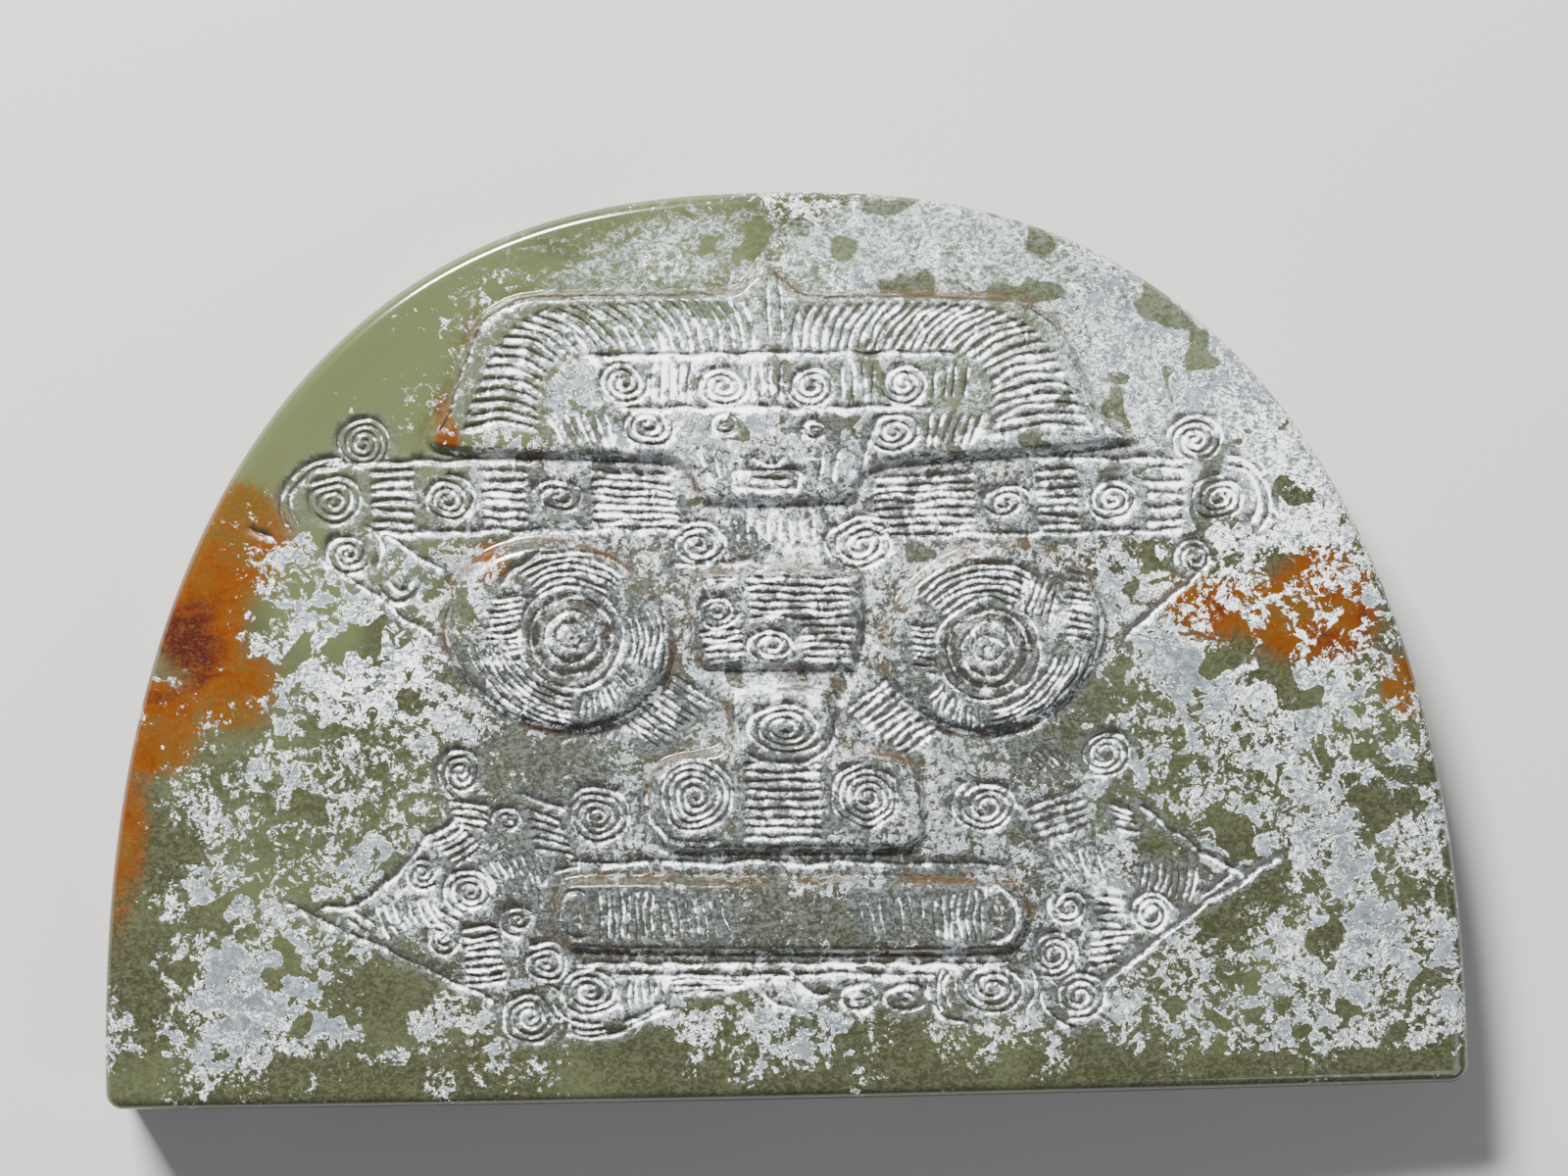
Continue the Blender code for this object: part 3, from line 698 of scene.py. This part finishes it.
BESIDE_LINES = 0.8
# The chalk and painted highlight of a line lie towards its lower wall, which faces the light, and its
# painted shade lies towards its upper wall, which faces away from it.
LIT_SIDE = np.array([0.02, -0.05])
DIM_SIDE = np.array([-0.03, 0.09])
WALL_CURVE = 0.85
END_FADE = 0.25
PRESSURE = 0.15
rng = np.random.default_rng(7)
for path, width, depth in lines:
    index = near(path, BESIDE_LINES)
    if len(index) == 0:
        continue
    around = front[index]
    distance, along = nearest(around, path)
    length = np.hypot(*np.diff(path, axis=0).T).sum()
    ends = ease(np.minimum(along, length - along) / END_FADE + 0.35)
    hand = 1 - PRESSURE + PRESSURE * np.sin(along * rng.uniform(1.5, 3.5) + rng.uniform(0, 6.3))
    profile = np.clip(1 - distance / (width / 2), 0, 1) ** WALL_CURVE
    highest(groove, index, depth * profile * ends * hand)
    highest(beside, index, ease(1 - distance / BESIDE_LINES))
    if width < RING_WIDTH:
        # Chalk and a painted highlight lie on the lit wall, painted shade on the upper wall. Wider
        # lines hold more chalk and more painted highlight.
        share = min(1, 0.3 + 2.1 * width)
        highest(chalk_and_highlight, index, on_line(around, path + LIT_SIDE, width) ** WALL_CURVE * ends * share)
        highest(shade, index, on_line(around, path + DIM_SIDE, width) * ends)
    else:
        # The wide sunk ring round each pupil gets painted shade across its whole width.
        highest(shade, index, 0.8 * profile)

CALM_BORDER = 2
SUNK = 0.04
calm = ease(nearest(front, np.vstack([border, border[:1]]))[0] / CALM_BORDER)
wear = waves(front, 9, 0.06, 3) + waves(front, 2.6, 0.02, 4)
top = EDGE_THICKNESS + rise(front) + calm * (relief - moat - groove + wear - SUNK)
print(f"front from {top.min():.2f} to {top.max():.2f} mm high")

# %% [markdown]
# Front mesh. Delaunay triangulation joins the sown points into the roundest triangles it can, so
# the rows along a line stay in order and the plain stone gets larger faces.

# %% Join the points of the front
def triangulate(points, edges, facing):
    """Roundest triangles that join the points and keep the edges. Facing is 1 for triangles seen
    from above and -1 for triangles seen from below."""
    joined = delaunay_2d_cdt([Vector(point) for point in points.tolist()], edges, [], 1, 1e-6)
    source = np.array([origin[0] for origin in joined[3]])
    triangles = source[np.array(joined[2])]
    a, b, c = (points[triangles[:, i]] for i in range(3))
    area = (b[:, 0] - a[:, 0]) * (c[:, 1] - a[:, 1]) - (b[:, 1] - a[:, 1]) * (c[:, 0] - a[:, 0])
    turned = facing * area < 0
    triangles[turned] = triangles[turned][:, ::-1]
    return triangles


count = len(border)
loop_edges = [(i, (i + 1) % count) for i in range(count)]
front_faces = triangulate(front, loop_edges, 1)
print(f"{len(front_faces)} faces on the front")

# %% [markdown]
# Sides. The outline is carried round the rim: a quarter circle from the front edge, a plain side,
# and a quarter circle to the back. A Bevel modifier could round the rims too, but these rings share
# their points with the front. Each ring is the outline drawn in by its own amount, at its own
# height, and the upper half is lifted with the dome.

# %% Rim and side rings
def bands(numbers):
    """Two triangles for each cell between closed rows of point numbers."""
    after = np.roll(numbers, -1, 1)
    quads = np.stack([numbers[:-1], numbers[1:], after[1:], after[:-1]], axis=2).reshape(-1, 4)
    return np.concatenate([quads[:, [0, 1, 2]], quads[:, [0, 2, 3]]])


RIM_STEPS = 5
quarter = np.linspace(0, np.pi / 2, RIM_STEPS + 1)
drawn_in = RIM * (1 - np.sin(quarter))
fallen = RIM * (1 - np.cos(quarter))
inset = np.concatenate([drawn_in, np.zeros(3), drawn_in[::-1]])
straight = EDGE_THICKNESS * np.array([0.7, 0.5, 0.3])
flat = np.concatenate([EDGE_THICKNESS - fallen, straight, fallen[::-1]])
rings = outline[None] - inset[:, None, None] * outward[None]
lift = np.clip(2 * flat / EDGE_THICKNESS - 1, 0, 1)
side_height = flat[:, None] + lift[:, None] * np.stack([rise(points) for points in rings])
top[:count] = side_height[0]
ring_xyz = np.concatenate([rings, side_height[..., None]], axis=2)[1:]
index = np.concatenate([[np.arange(count)],
                        len(front) + np.arange(len(ring_xyz) * count).reshape(-1, count)])
side_faces = bands(index)
print(f"{len(rings)} rings, {len(side_faces)} faces on the side")

# %% [markdown]
# Back. It is ground flat. Three bent tunnels run from one hole to the next inside the stone, so
# that a thread can pass without showing on the face. A Boolean could cut them, but would leave
# ragged faces round the holes. Here each is half a torus, flatter than round and narrower in the
# middle, joined to points of the back.

# %% Tunnels and back
HOLE_MOUTH = 1.4
HOLE_THROAT = 0.85
HOLE_REACH = 3.5
HOLE_DEPTH = 2.4
HOLE_INSET = 10
AROUND = 24
ALONG = 18


def tunnel(x, y):
    """Half torus between two mouths. One angle leads over from mouth to mouth, the other goes
    round the bore, and the bore's radius shrinks with the sine of the first."""
    over = np.linspace(0, np.pi, ALONG + 1)[:, None]
    around = np.linspace(0, 2 * np.pi, AROUND, endpoint=False)[None]
    radius = HOLE_MOUTH + (HOLE_THROAT - HOLE_MOUTH) * np.sin(over) ** 0.6
    out = HOLE_REACH + radius * np.cos(around)
    height = HOLE_DEPTH / HOLE_REACH * out * np.sin(over)
    height[[0, -1]] = 0
    return np.stack([x - out * np.cos(over), y + radius * np.sin(around), height], axis=2)


side_x = WIDE / 2 - HOLE_INSET - HOLE_REACH
tunnels = [tunnel(0, TALL - HOLE_INSET), tunnel(-side_x, HOLE_INSET), tunnel(side_x, HOLE_INSET)]
mouths = [grid[end, :, :2] for grid in tunnels for end in (0, -1)]
back_border = rings[-1]
grid_x, grid_y = np.meshgrid(np.arange(-WIDE / 2, WIDE / 2, 2), np.arange(1, TALL, 2))
loose = np.column_stack([grid_x.ravel(), grid_y.ravel()])
loose = loose[within(loose, outline - 1.5 * outward)]
for mouth_loop in mouths:
    loose = loose[np.hypot(*(loose - mouth_loop.mean(0)).T) > HOLE_MOUTH + 0.6]
back_points = np.vstack([back_border] + mouths + [loose])
back_edges = list(loop_edges)
for number in range(len(mouths)):
    first = count + number * AROUND
    back_edges += [(first + i, first + (i + 1) % AROUND) for i in range(AROUND)]
back_faces = triangulate(back_points, back_edges, -1)
middles = back_points[back_faces].mean(1)
in_hole = np.zeros(len(middles), bool)
for mouth_loop in mouths:
    in_hole |= within(middles, mouth_loop)
back_faces = back_faces[~in_hole]

ring_end = len(front) + len(ring_xyz) * count
new_back = back_points[count:]
back_map = np.concatenate([index[-1], ring_end + np.arange(len(new_back))])
back_faces = back_map[back_faces]
vertices = [np.column_stack([front, top]), ring_xyz.reshape(-1, 3),
            np.column_stack([new_back, np.zeros(len(new_back))])]
faces = [front_faces, side_faces, back_faces]
total = ring_end + len(new_back)
for number, grid in enumerate(tunnels):
    inner = grid[1:-1].reshape(-1, 3)
    numbers = total + np.arange(len(inner)).reshape(-1, AROUND)
    mouth_a = ring_end + (2 * number) * AROUND + np.arange(AROUND)
    mouth_b = mouth_a + AROUND
    faces.append(bands(np.vstack([mouth_a, numbers, mouth_b])))
    vertices.append(inner)
    total += len(inner)
vertices = np.vstack(vertices)
faces = np.vstack(faces)
print(f"{len(back_faces)} faces on the back, {len(faces)} triangles in all")

# %% [markdown]
# Clouds and stains. The stone is clear green at the upper left, dense white over the right
# shoulder, lace in between, and russet at both edges. A painted picture would need an unwrapped
# stone. Instead, soft round zones say where each kind lies on every side, and the material breaks
# them up with fine noise.

# %% Zones of colour
def zones(points, table):
    """Sum of soft round zones. Each gives its strength at its middle and falls to nothing at its
    radii, along a smooth step."""
    total = np.zeros(len(points))
    for x, y, across, up, strength in table:
        distance = np.hypot((points[:, 0] - x) / across, (points[:, 1] - y) / up)
        total += strength * ease(1 - distance)
    return total


def blur_edges(points):
    """The same points moved a little by slow waves, so that no zone has a round edge."""
    shift_x = waves(points, 11, 2.2, 11) + waves(points, 4, 1, 12)
    shift_y = waves(points, 10, 2.2, 13) + waves(points, 4, 1, 14)
    return points + np.column_stack([shift_x, shift_y])


# Down the sides the zones run slanting, like veins.
VEIN_SLANT = (-0.2, 0.55)
below = np.maximum(EDGE_THICKNESS - RIM - vertices[:, 2:], 0)
place = vertices[:, :2] + below * VEIN_SLANT
plan = blur_edges(place)
# The zone at (-5, 38.5) whitens the left of the brim as a painted highlight, where the polish catches
# the light.
white = zones(plan, [
    (-28, 40, 15, 12, -6), (-13, 47, 17, 5.5, -5), (8, 47, 22, 4, -2), (19, 42, 8, 6, 0.6),
    (26, 34, 8, 8, 2), (30.5, 30, 4, 6, 0.8), (-33, 27, 8, 10, -5.2), (-36.5, 14, 6, 14, -3.8),
    (29, 25, 7, 5, -1), (-30.5, 20, 4, 6, -0.8), (-12.5, 18, 7, 4, -2.4), (-22, 18, 5, 4, -1.5),
    (-21.5, 7, 6.5, 4.2, -4.6), (-27, 13.5, 5, 4, -1.6), (0, 10, 15, 3, -2.8), (-22, 24, 6, 5, 0.5),
    (-27.5, 6, 5.5, 4.5, 2.2), (17.5, 21.5, 5, 4, -2.2), (23, 18, 5, 4, -0.6), (25, 9, 4, 4, -0.6),
    (18, 10, 5, 4, 1.8), (-17.5, 10, 5, 4, 0.6), (35.5, 20, 4.5, 7, -2.6), (-14, 30.5, 5, 3, -1.4),
    (-5, 38.5, 10, 5, 2.2), (11, 42, 8, 3.5, -0.6), (6, 38.5, 7, 3.5, 0.7), (0, 30, 6, 2.5, 2),
    (0, 33.5, 30, 4, 1.3), (-8, 2.2, 8, 3, -3.6), (14, 2.2, 8, 3, -2.2), (14, 18.5, 4, 3, -1.8),
    (24, 27.5, 4, 3, -0.8), (0, 22, 7, 3, 2), (17, 26, 4.5, 3, 1.4), (27, 21, 4, 4, 1.2),
    (-1.5, 3, 3.5, 3, 1.8), (6, 2.6, 3.8, 3, -2.6), (-18, 9, 4, 4, 0.8), (-6, 47, 8, 3, 0.8),
    (-11.6, 10.2, 1.6, 2, -2.5), (-13.5, 13.8, 3, 2.5, -1.5), (22, 22, 4, 3.5, 2.6),
    (26, 10, 4, 3, -1.6), (-24, 35, 4, 3, 1.5), (-32.6, 24.2, 3.4, 4, 3), (-1, 6.2, 15, 2.6, 1.2),
    (-34, 8, 4, 4, -1.6), (35, 10, 4, 4, -1.6), (20, 14, 5, 3.5, -1.2), (30.5, 9, 6, 6, 1.5),
    (8, 6.5, 5, 2.5, 1.4), (-12, 12.5, 4, 3, -1.6)])
# The base keeps a band of plain green.
BAND = 3
white -= 3.2 * ease(1 - plan[:, 1] / BAND)
haze = zones(plan, [
    (-28, 36, 13, 12, -1.5), (-10, 45.5, 13, 6, 0.7), (22, 39, 15, 13, 2.2), (0, 40, 24, 9, 1.2),
    (4, 47, 22, 5, 1), (10, 46, 12, 5, 1.4)])
silver = zones(plan, [
    (0, 22, 25, 22, 1.7), (0, 32.5, 32, 4.5, 1.2), (-16, 11, 9, 8, 0.7), (16, 9, 9, 8, 0.7)])
chalky = zones(plan, [
    (-22, 24, 9, 7, 1), (26, 31, 11, 13, 1.3), (29, 20, 8, 10, 0.5), (0, 26, 24, 16, 0.6),
    (0, 6, 20, 5, 0.4)])
half_blurred = 0.6 * place + 0.4 * plan
rust = zones(half_blurred, [
    (-29.5, 30.5, 4.5, 5, 2), (-31.2, 26.5, 4, 3.6, 2), (-29.5, 23, 4.5, 3, 1.3),
    (-33.6, 20.5, 3.4, 3.4, 1.9), (-36, 15, 2.6, 9, 0.9), (29.2, 25.8, 5.2, 4.4, 2),
    (23.2, 26.2, 4.5, 2.6, 1.3), (33.6, 21.6, 2.2, 2.6, 1.6), (28.9, 34.2, 1.8, 1.6, 1.6),
    (-18, 37.1, 1.1, 1.7, 2), (5.8, 34.1, 1.3, 0.8, 1.8), (-15.3, 28.8, 2, 1.6, 1.3)])
red = zones(half_blurred, [
    (-32.4, 25.4, 3.6, 3.6, 2.4), (-33.6, 20.8, 3, 3, 0.8), (31.5, 24, 3, 3, 0.9),
    (-29, 31, 4.5, 3.5, -0.6)])
deep = 0.8 + zones(plan, [
    (-28, 40, 22, 20, -2), (-6, 45, 14, 8, -0.6), (0, 40, 22, 7, -0.9), (0, 10, 34, 7, 0.3),
    (0, 0, 50, 6, 0.3)])
print(f"white field from {white.min():.1f} to {white.max():.1f}")

# %% [markdown]
# The finished stone is one closed mesh. It takes the place of the solid, which stays for
# collisions. The numbers worked out above are kept on its points, where the material reads them.

# %% Put the stone together
mesh = bpy.data.meshes.new("carved_jade")
mesh.vertices.add(len(vertices))
mesh.vertices.foreach_set("co", ((vertices - (0, TALL / 2, 0)) * MM).ravel())
mesh.loops.add(faces.size)
mesh.loops.foreach_set("vertex_index", faces.ravel())
mesh.polygons.add(len(faces))
mesh.polygons.foreach_set("loop_start", np.arange(0, faces.size, 3))
mesh.polygons.foreach_set("use_smooth", np.ones(len(faces), bool))
mesh.update(calc_edges=True)
mesh.validate()


def keep(name, values):
    """Number on each point of the stone. Values for the front only get zeros behind them."""
    full = np.zeros(len(vertices), np.float32)
    full[:len(values)] = values
    mesh.attributes.new(name, "FLOAT", "POINT").data.foreach_set("value", full)


for name, values in dict(chalk_and_highlight=chalk_and_highlight, shade=shade, beside=beside, foot_shade=foot_shade, white=white, haze=haze,
                         silver=silver, chalky=chalky, rust=rust, red=red, deep=deep).items():
    keep(name, values)
stone = put("carved_jade", mesh)
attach(stone, "root")
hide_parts("jade_plaque")
print(f"stone: {len(mesh.vertices)} points, {len(mesh.polygons)} triangles")

# %% [markdown]
# Jade. Light sinks a little way into the stone, so the material scatters light under its surface.
# On the green lie, in this order, a greyer ground in the carving, russet skin, soft haze, patches
# of blue grey, and white along their rims and in the cut lines, where chalk and a painted highlight
# lie on the lit wall. Dark pits, painted shade on the upper walls of the lines and brown painted
# shade round the forms come last. Each layer is a colour mixed in by its own mask,
# and each mask is a zone broken up by noise in the stone's own coordinates.

# %% Helpers for the material
jade = bpy.data.materials.new("mottled_jade")
jade.use_nodes = True
tree = jade.node_tree
shader = tree.nodes["Principled BSDF"]


def node(kind):
    """New node of the jade."""
    return tree.nodes.new("ShaderNode" + kind)


coordinates = node("TexCoord").outputs["Object"]


def wire(socket, value):
    """Set a socket to a value, or link it to another socket."""
    if isinstance(value, bpy.types.NodeSocket):
        tree.links.new(value, socket)
    else:
        socket.default_value = value


def feed(made, wanted):
    """Set the named sockets of a node."""
    for name, value in wanted.items():
        wire(made.inputs[name], value)


def noise(size, detail, roughness, distortion=0, stretch=(1, 1, 1), shift=0):
    """Noise whose largest patches are about so many millimetres across."""
    place = node("Mapping")
    feed(place, {"Vector": coordinates, "Scale": stretch, "Location": (shift, shift, shift)})
    made = node("TexNoise")
    feed(made, {"Vector": place.outputs["Vector"], "Scale": 1 / (size * MM), "Detail": detail,
                "Roughness": roughness, "Distortion": distortion})
    return made.outputs["Fac"]


def number(name):
    """The number that the stone keeps on its points under this name."""
    made = node("Attribute")
    made.attribute_name = name
    return made.outputs["Fac"]


def sum_up(a, times, plus):
    """a x times + plus."""
    made = node("Math")
    made.operation = "MULTIPLY_ADD"
    for socket, value in zip(made.inputs, (a, times, plus)):
        wire(socket, value)
    return made.outputs["Value"]


def multiply(a, b):
    """a x b."""
    return sum_up(a, b, 0)


def between(value, low_end, high_end, low_out=0, high_out=1):
    """Smooth step of a value between two ends."""
    made = node("MapRange")
    made.interpolation_type = "SMOOTHSTEP"
    feed(made, {"Value": value, "From Min": low_end, "From Max": high_end,
                "To Min": low_out, "To Max": high_out})
    return made.outputs["Result"]


def blend(share, under, over):
    """Colour that goes from one to another with a share."""
    made = node("Mix")
    made.data_type = "RGBA"
    wire(made.inputs[0], share)
    for socket, colour in ((made.inputs[6], under), (made.inputs[7], over)):
        wire(socket, colour if isinstance(colour, bpy.types.NodeSocket) else (*colour, 1))
    return made.outputs[2]


def thread(value, middle, reach):
    """One where a value equals the middle, falling to nothing at a reach on each side: a line."""
    away = node("Math")
    away.operation = "ABSOLUTE"
    wire(away.inputs[0], sum_up(value, 1, -middle))
    return between(away.outputs["Value"], 0, reach, 1, 0)


# %% Layers of the stone's colour
CLEAR_GREEN = (0.071, 0.086, 0.037)
DEEP_OLIVE = (0.026, 0.028, 0.013)
SPECK_OLIVE = (0.075, 0.084, 0.050)
DARK_GREY = (0.032, 0.033, 0.032)
MID_GREY = (0.135, 0.156, 0.172)
# Painted shade for the upper walls of the lines and the sunk rings.
PAINTED_SHADE = (0.020, 0.017, 0.012)
DIM_VEIL = (0.100, 0.128, 0.102)
BRIGHT_VEIL = (0.50, 0.56, 0.58)
BLUE_GREY = (0.080, 0.101, 0.110)
PALE = (0.235, 0.282, 0.315)
WHITE = (0.93, 0.96, 0.98)
AMBER = (0.074, 0.040, 0.007)
ORANGE = (0.105, 0.025, 0.001)
DARK_RED = (0.036, 0.006, 0.004)
GOLD = (0.140, 0.068, 0.010)
# Brown painted shade for the foot of the forms.
SHADE_BROWN = (0.052, 0.027, 0.009)

slow = noise(8, 3, 0.5, 0.4)
busy = between(noise(4, 2, 0.5, shift=0.17), 0.40, 0.60)
lace = noise(2.2, 5, 0.64, 1.7, shift=0.03)
fine = noise(0.7, 4, 0.72, 1, shift=0.07)
grain = noise(0.28, 3, 0.7, 0.6, shift=0.11)
fibres = noise(0.6, 4, 0.75, 2, (1, 1.6, 1), 0.3)
fine_fibres = sum_up(fibres, 0.6, multiply(grain, 0.4))
islands = between(noise(2.2, 1.5, 0.4, 0.3, shift=0.9), 0.60, 0.65)
carved = between(number("beside"), 0.1, 0.7)
silvery = between(number("silver"), 0, 1)
worked = between(sum_up(silvery, 0.6, carved), 0.2, 1)

green = blend(between(sum_up(slow, 2, sum_up(number("deep"), 1, -1)), 0.1, 1),
              CLEAR_GREEN, DEEP_OLIVE)
green = blend(multiply(between(fine_fibres, 0.44, 0.58), between(number("deep"), 0.2, 0.8, 0, 0.6)),
              green, SPECK_OLIVE)
dulled = multiply(sum_up(carved, 0.45, multiply(silvery, 0.6)), between(fine, 0.35, 0.6, 1, 0.6))
green = blend(dulled, green, blend(between(fine_fibres, 0.44, 0.60), DARK_GREY, MID_GREY))
rust_share = between(sum_up(fibres, 1.8, sum_up(number("rust"), 1, -0.9)), 0.1, 0.9)
rust_tone = sum_up(noise(3.2, 5, 0.65, 1.2, shift=0.2), 0.6, multiply(fibres, 0.4))
rust_tone = sum_up(number("red"), 0.09, rust_tone)
rust_colour = blend(between(rust_tone, 0.42, 0.54), AMBER, ORANGE)
rust_colour = blend(between(rust_tone, 0.52, 0.66), rust_colour, DARK_RED)
rust_colour = blend(between(fine_fibres, 0.47, 0.60, 0, 0.35), rust_colour, GOLD)
colour = blend(rust_share, green, rust_colour)
drift = sum_up(noise(2, 5, 0.7, 1.5, (1, 1.5, 1), 0.4), 0.6, multiply(fibres, 0.4))
veil_share = between(sum_up(drift, 5, sum_up(number("haze"), 1, -3.2)), 0, 1.2, 0, 0.9)
veil_share = multiply(veil_share, sum_up(islands, -0.9, 1))
colour = blend(veil_share, colour, blend(between(fine_fibres, 0.43, 0.59), DIM_VEIL, BRIGHT_VEIL))

speck = multiply(sum_up(grain, 12, -6), sum_up(busy, 0.6, multiply(silvery, 0.5)))
# Chalk and painted highlight along the lit walls of the lines.
chalk_and_highlight_left = multiply(number("chalk_and_highlight"), between(fine, 0.36, 0.62, 0.45, 1.3))
strokes = multiply(carved, sum_up(chalk_and_highlight_left, 3.9, -0.9))
whiteness = sum_up(lace, 9, sum_up(fine, 8.5, -8.75))
whiteness = sum_up(whiteness, 1, sum_up(speck, 1, sum_up(strokes, 1, number("white"))))
whiteness = sum_up(islands, -3, whiteness)
patch_share = between(whiteness, -0.7, 0.8, 0, 0.95)
patch_tone = sum_up(fine, 0.45, sum_up(fibres, 0.35, multiply(grain, 0.2)))
colour = blend(patch_share, colour, blend(between(patch_tone, 0.43, 0.62), BLUE_GREY, PALE))

rims = multiply(thread(whiteness, 0.2, 0.4), between(fibres, 0.42, 0.54))
wide_net = thread(noise(1.1, 5, 0.62, 1.6, shift=0.21), 0.5, 0.022)
small_net = thread(noise(0.6, 4, 0.62, 1.2, shift=0.33), 0.5, 0.035)
net = multiply(sum_up(wide_net, 0.8, small_net), multiply(busy, between(fine, 0.40, 0.58)))
net = multiply(net, between(whiteness, -2.2, 0.4))
chalk = multiply(between(number("chalky"), 0, 1), between(fine_fibres, 0.44, 0.56))
chalk = multiply(chalk, patch_share)
plain_white = between(sum_up(rims, 1, sum_up(chalk, 0.8, net)), 0, 1, 0, 0.95)
cut_white = between(whiteness, 0.7, 2.7)
white_share = sum_up(worked, sum_up(plain_white, -0.7, cut_white), plain_white)
colour = blend(between(white_share, 0, 1), colour, WHITE)
pits = multiply(between(grain, 0.56, 0.64, 0, 0.7), sum_up(busy, 0.7, multiply(silvery, 0.3)))
pits = multiply(pits, between(number("chalk_and_highlight"), 0, 0.5, 1, 0))
colour = blend(multiply(pits, patch_share), colour, DEEP_OLIVE)
# Painted shade on the upper walls of the lines and in the sunk rings round the pupils.
painted_shade_wall = multiply(between(number("shade"), 0.05, 0.5), between(number("chalk_and_highlight"), 0.15, 0.65, 1, 0))
colour = blend(multiply(painted_shade_wall, between(fine, 0.4, 0.6, 1, 0.55)), colour, PAINTED_SHADE)

# Brown painted shade round the foot of each form.
foot_shade_share = multiply(number("foot_shade"), between(noise(2, 5, 0.6, shift=0.5), 0.42, 0.58, 0, 0.8))
colour = blend(foot_shade_share, colour, SHADE_BROWN)
feed(shader, {"Base Color": colour})

# %% Polish, depth and fine relief of the surface
roughness = sum_up(carved, 0.10, between(patch_share, 0, 1, 0.13, 0.32))
bump = node("Bump")
feed(bump, {"Strength": 0.5, "Distance": 0.04 * MM,
            "Height": sum_up(multiply(grain, worked), 0.8, multiply(patch_share, 0.5))})
feed(shader, {"Roughness": sum_up(number("chalk_and_highlight"), -0.22, roughness), "IOR": 1.61,
              "Normal": bump.outputs["Normal"], "Subsurface Weight": 0.12,
              "Subsurface Radius": (1, 1.1, 0.7), "Subsurface Scale": 0.35 * MM})
mesh.materials.append(jade)
print(f"jade material with {len(tree.nodes)} nodes")

# %% [markdown]
# Table and light. A plain pale table fills the view. A soft light as wide as a hand hangs beyond
# the crown, a little to the left, so that every line throws a small shade towards the base. A
# wider and weaker one fills from the other side.

# %% Table
HALF_TABLE = 0.6
TABLE_TOP = -0.00002
floor_mesh = bpy.data.meshes.new("table")
floor_mesh.from_pydata([(x * HALF_TABLE, y * HALF_TABLE, TABLE_TOP)
                        for x, y in ((-1, -1), (1, -1), (1, 1), (-1, 1))], [], [(0, 1, 2, 3)])
floor = put("table", floor_mesh)
paper = bpy.data.materials.new("pale_table")
paper.use_nodes = True
paper_sockets = paper.node_tree.nodes["Principled BSDF"].inputs
paper_sockets["Base Color"].default_value = (0.42, 0.415, 0.40, 1.0)
paper_sockets["Roughness"].default_value = 0.7
floor_mesh.materials.append(paper)


# %% Lights
FACE_MIDDLE = Vector((0.0, 0.0, 0.005))


def soft_light(name, place, size, power, colour):
    """Flat lamp at a place in metres, turned to the middle of the face."""
    data = bpy.data.lights.new(name, "AREA")
    data.shape = "RECTANGLE"
    data.size, data.size_y = size
    data.energy = power
    data.color = colour
    lamp = put(name, data)
    lamp.location = place
    lamp.rotation_euler = (FACE_MIDDLE - Vector(place)).to_track_quat("-Z", "Y").to_euler()


soft_light("key_light", (-0.15, 0.32, 0.33), (0.15, 0.11), 10.8, (1.0, 0.98, 0.95))
soft_light("fill_light", (0.35, -0.25, 0.35), (0.4, 0.4), 1.1, (0.92, 0.96, 1.0))
world = bpy.data.worlds.new("studio")
world.use_nodes = True
sky = world.node_tree.nodes["Background"].inputs
sky["Color"].default_value = (0.93, 0.96, 1.0, 1.0)
sky["Strength"].default_value = 0.22
bpy.context.scene.world = world

# %% Finish
print("scene built")
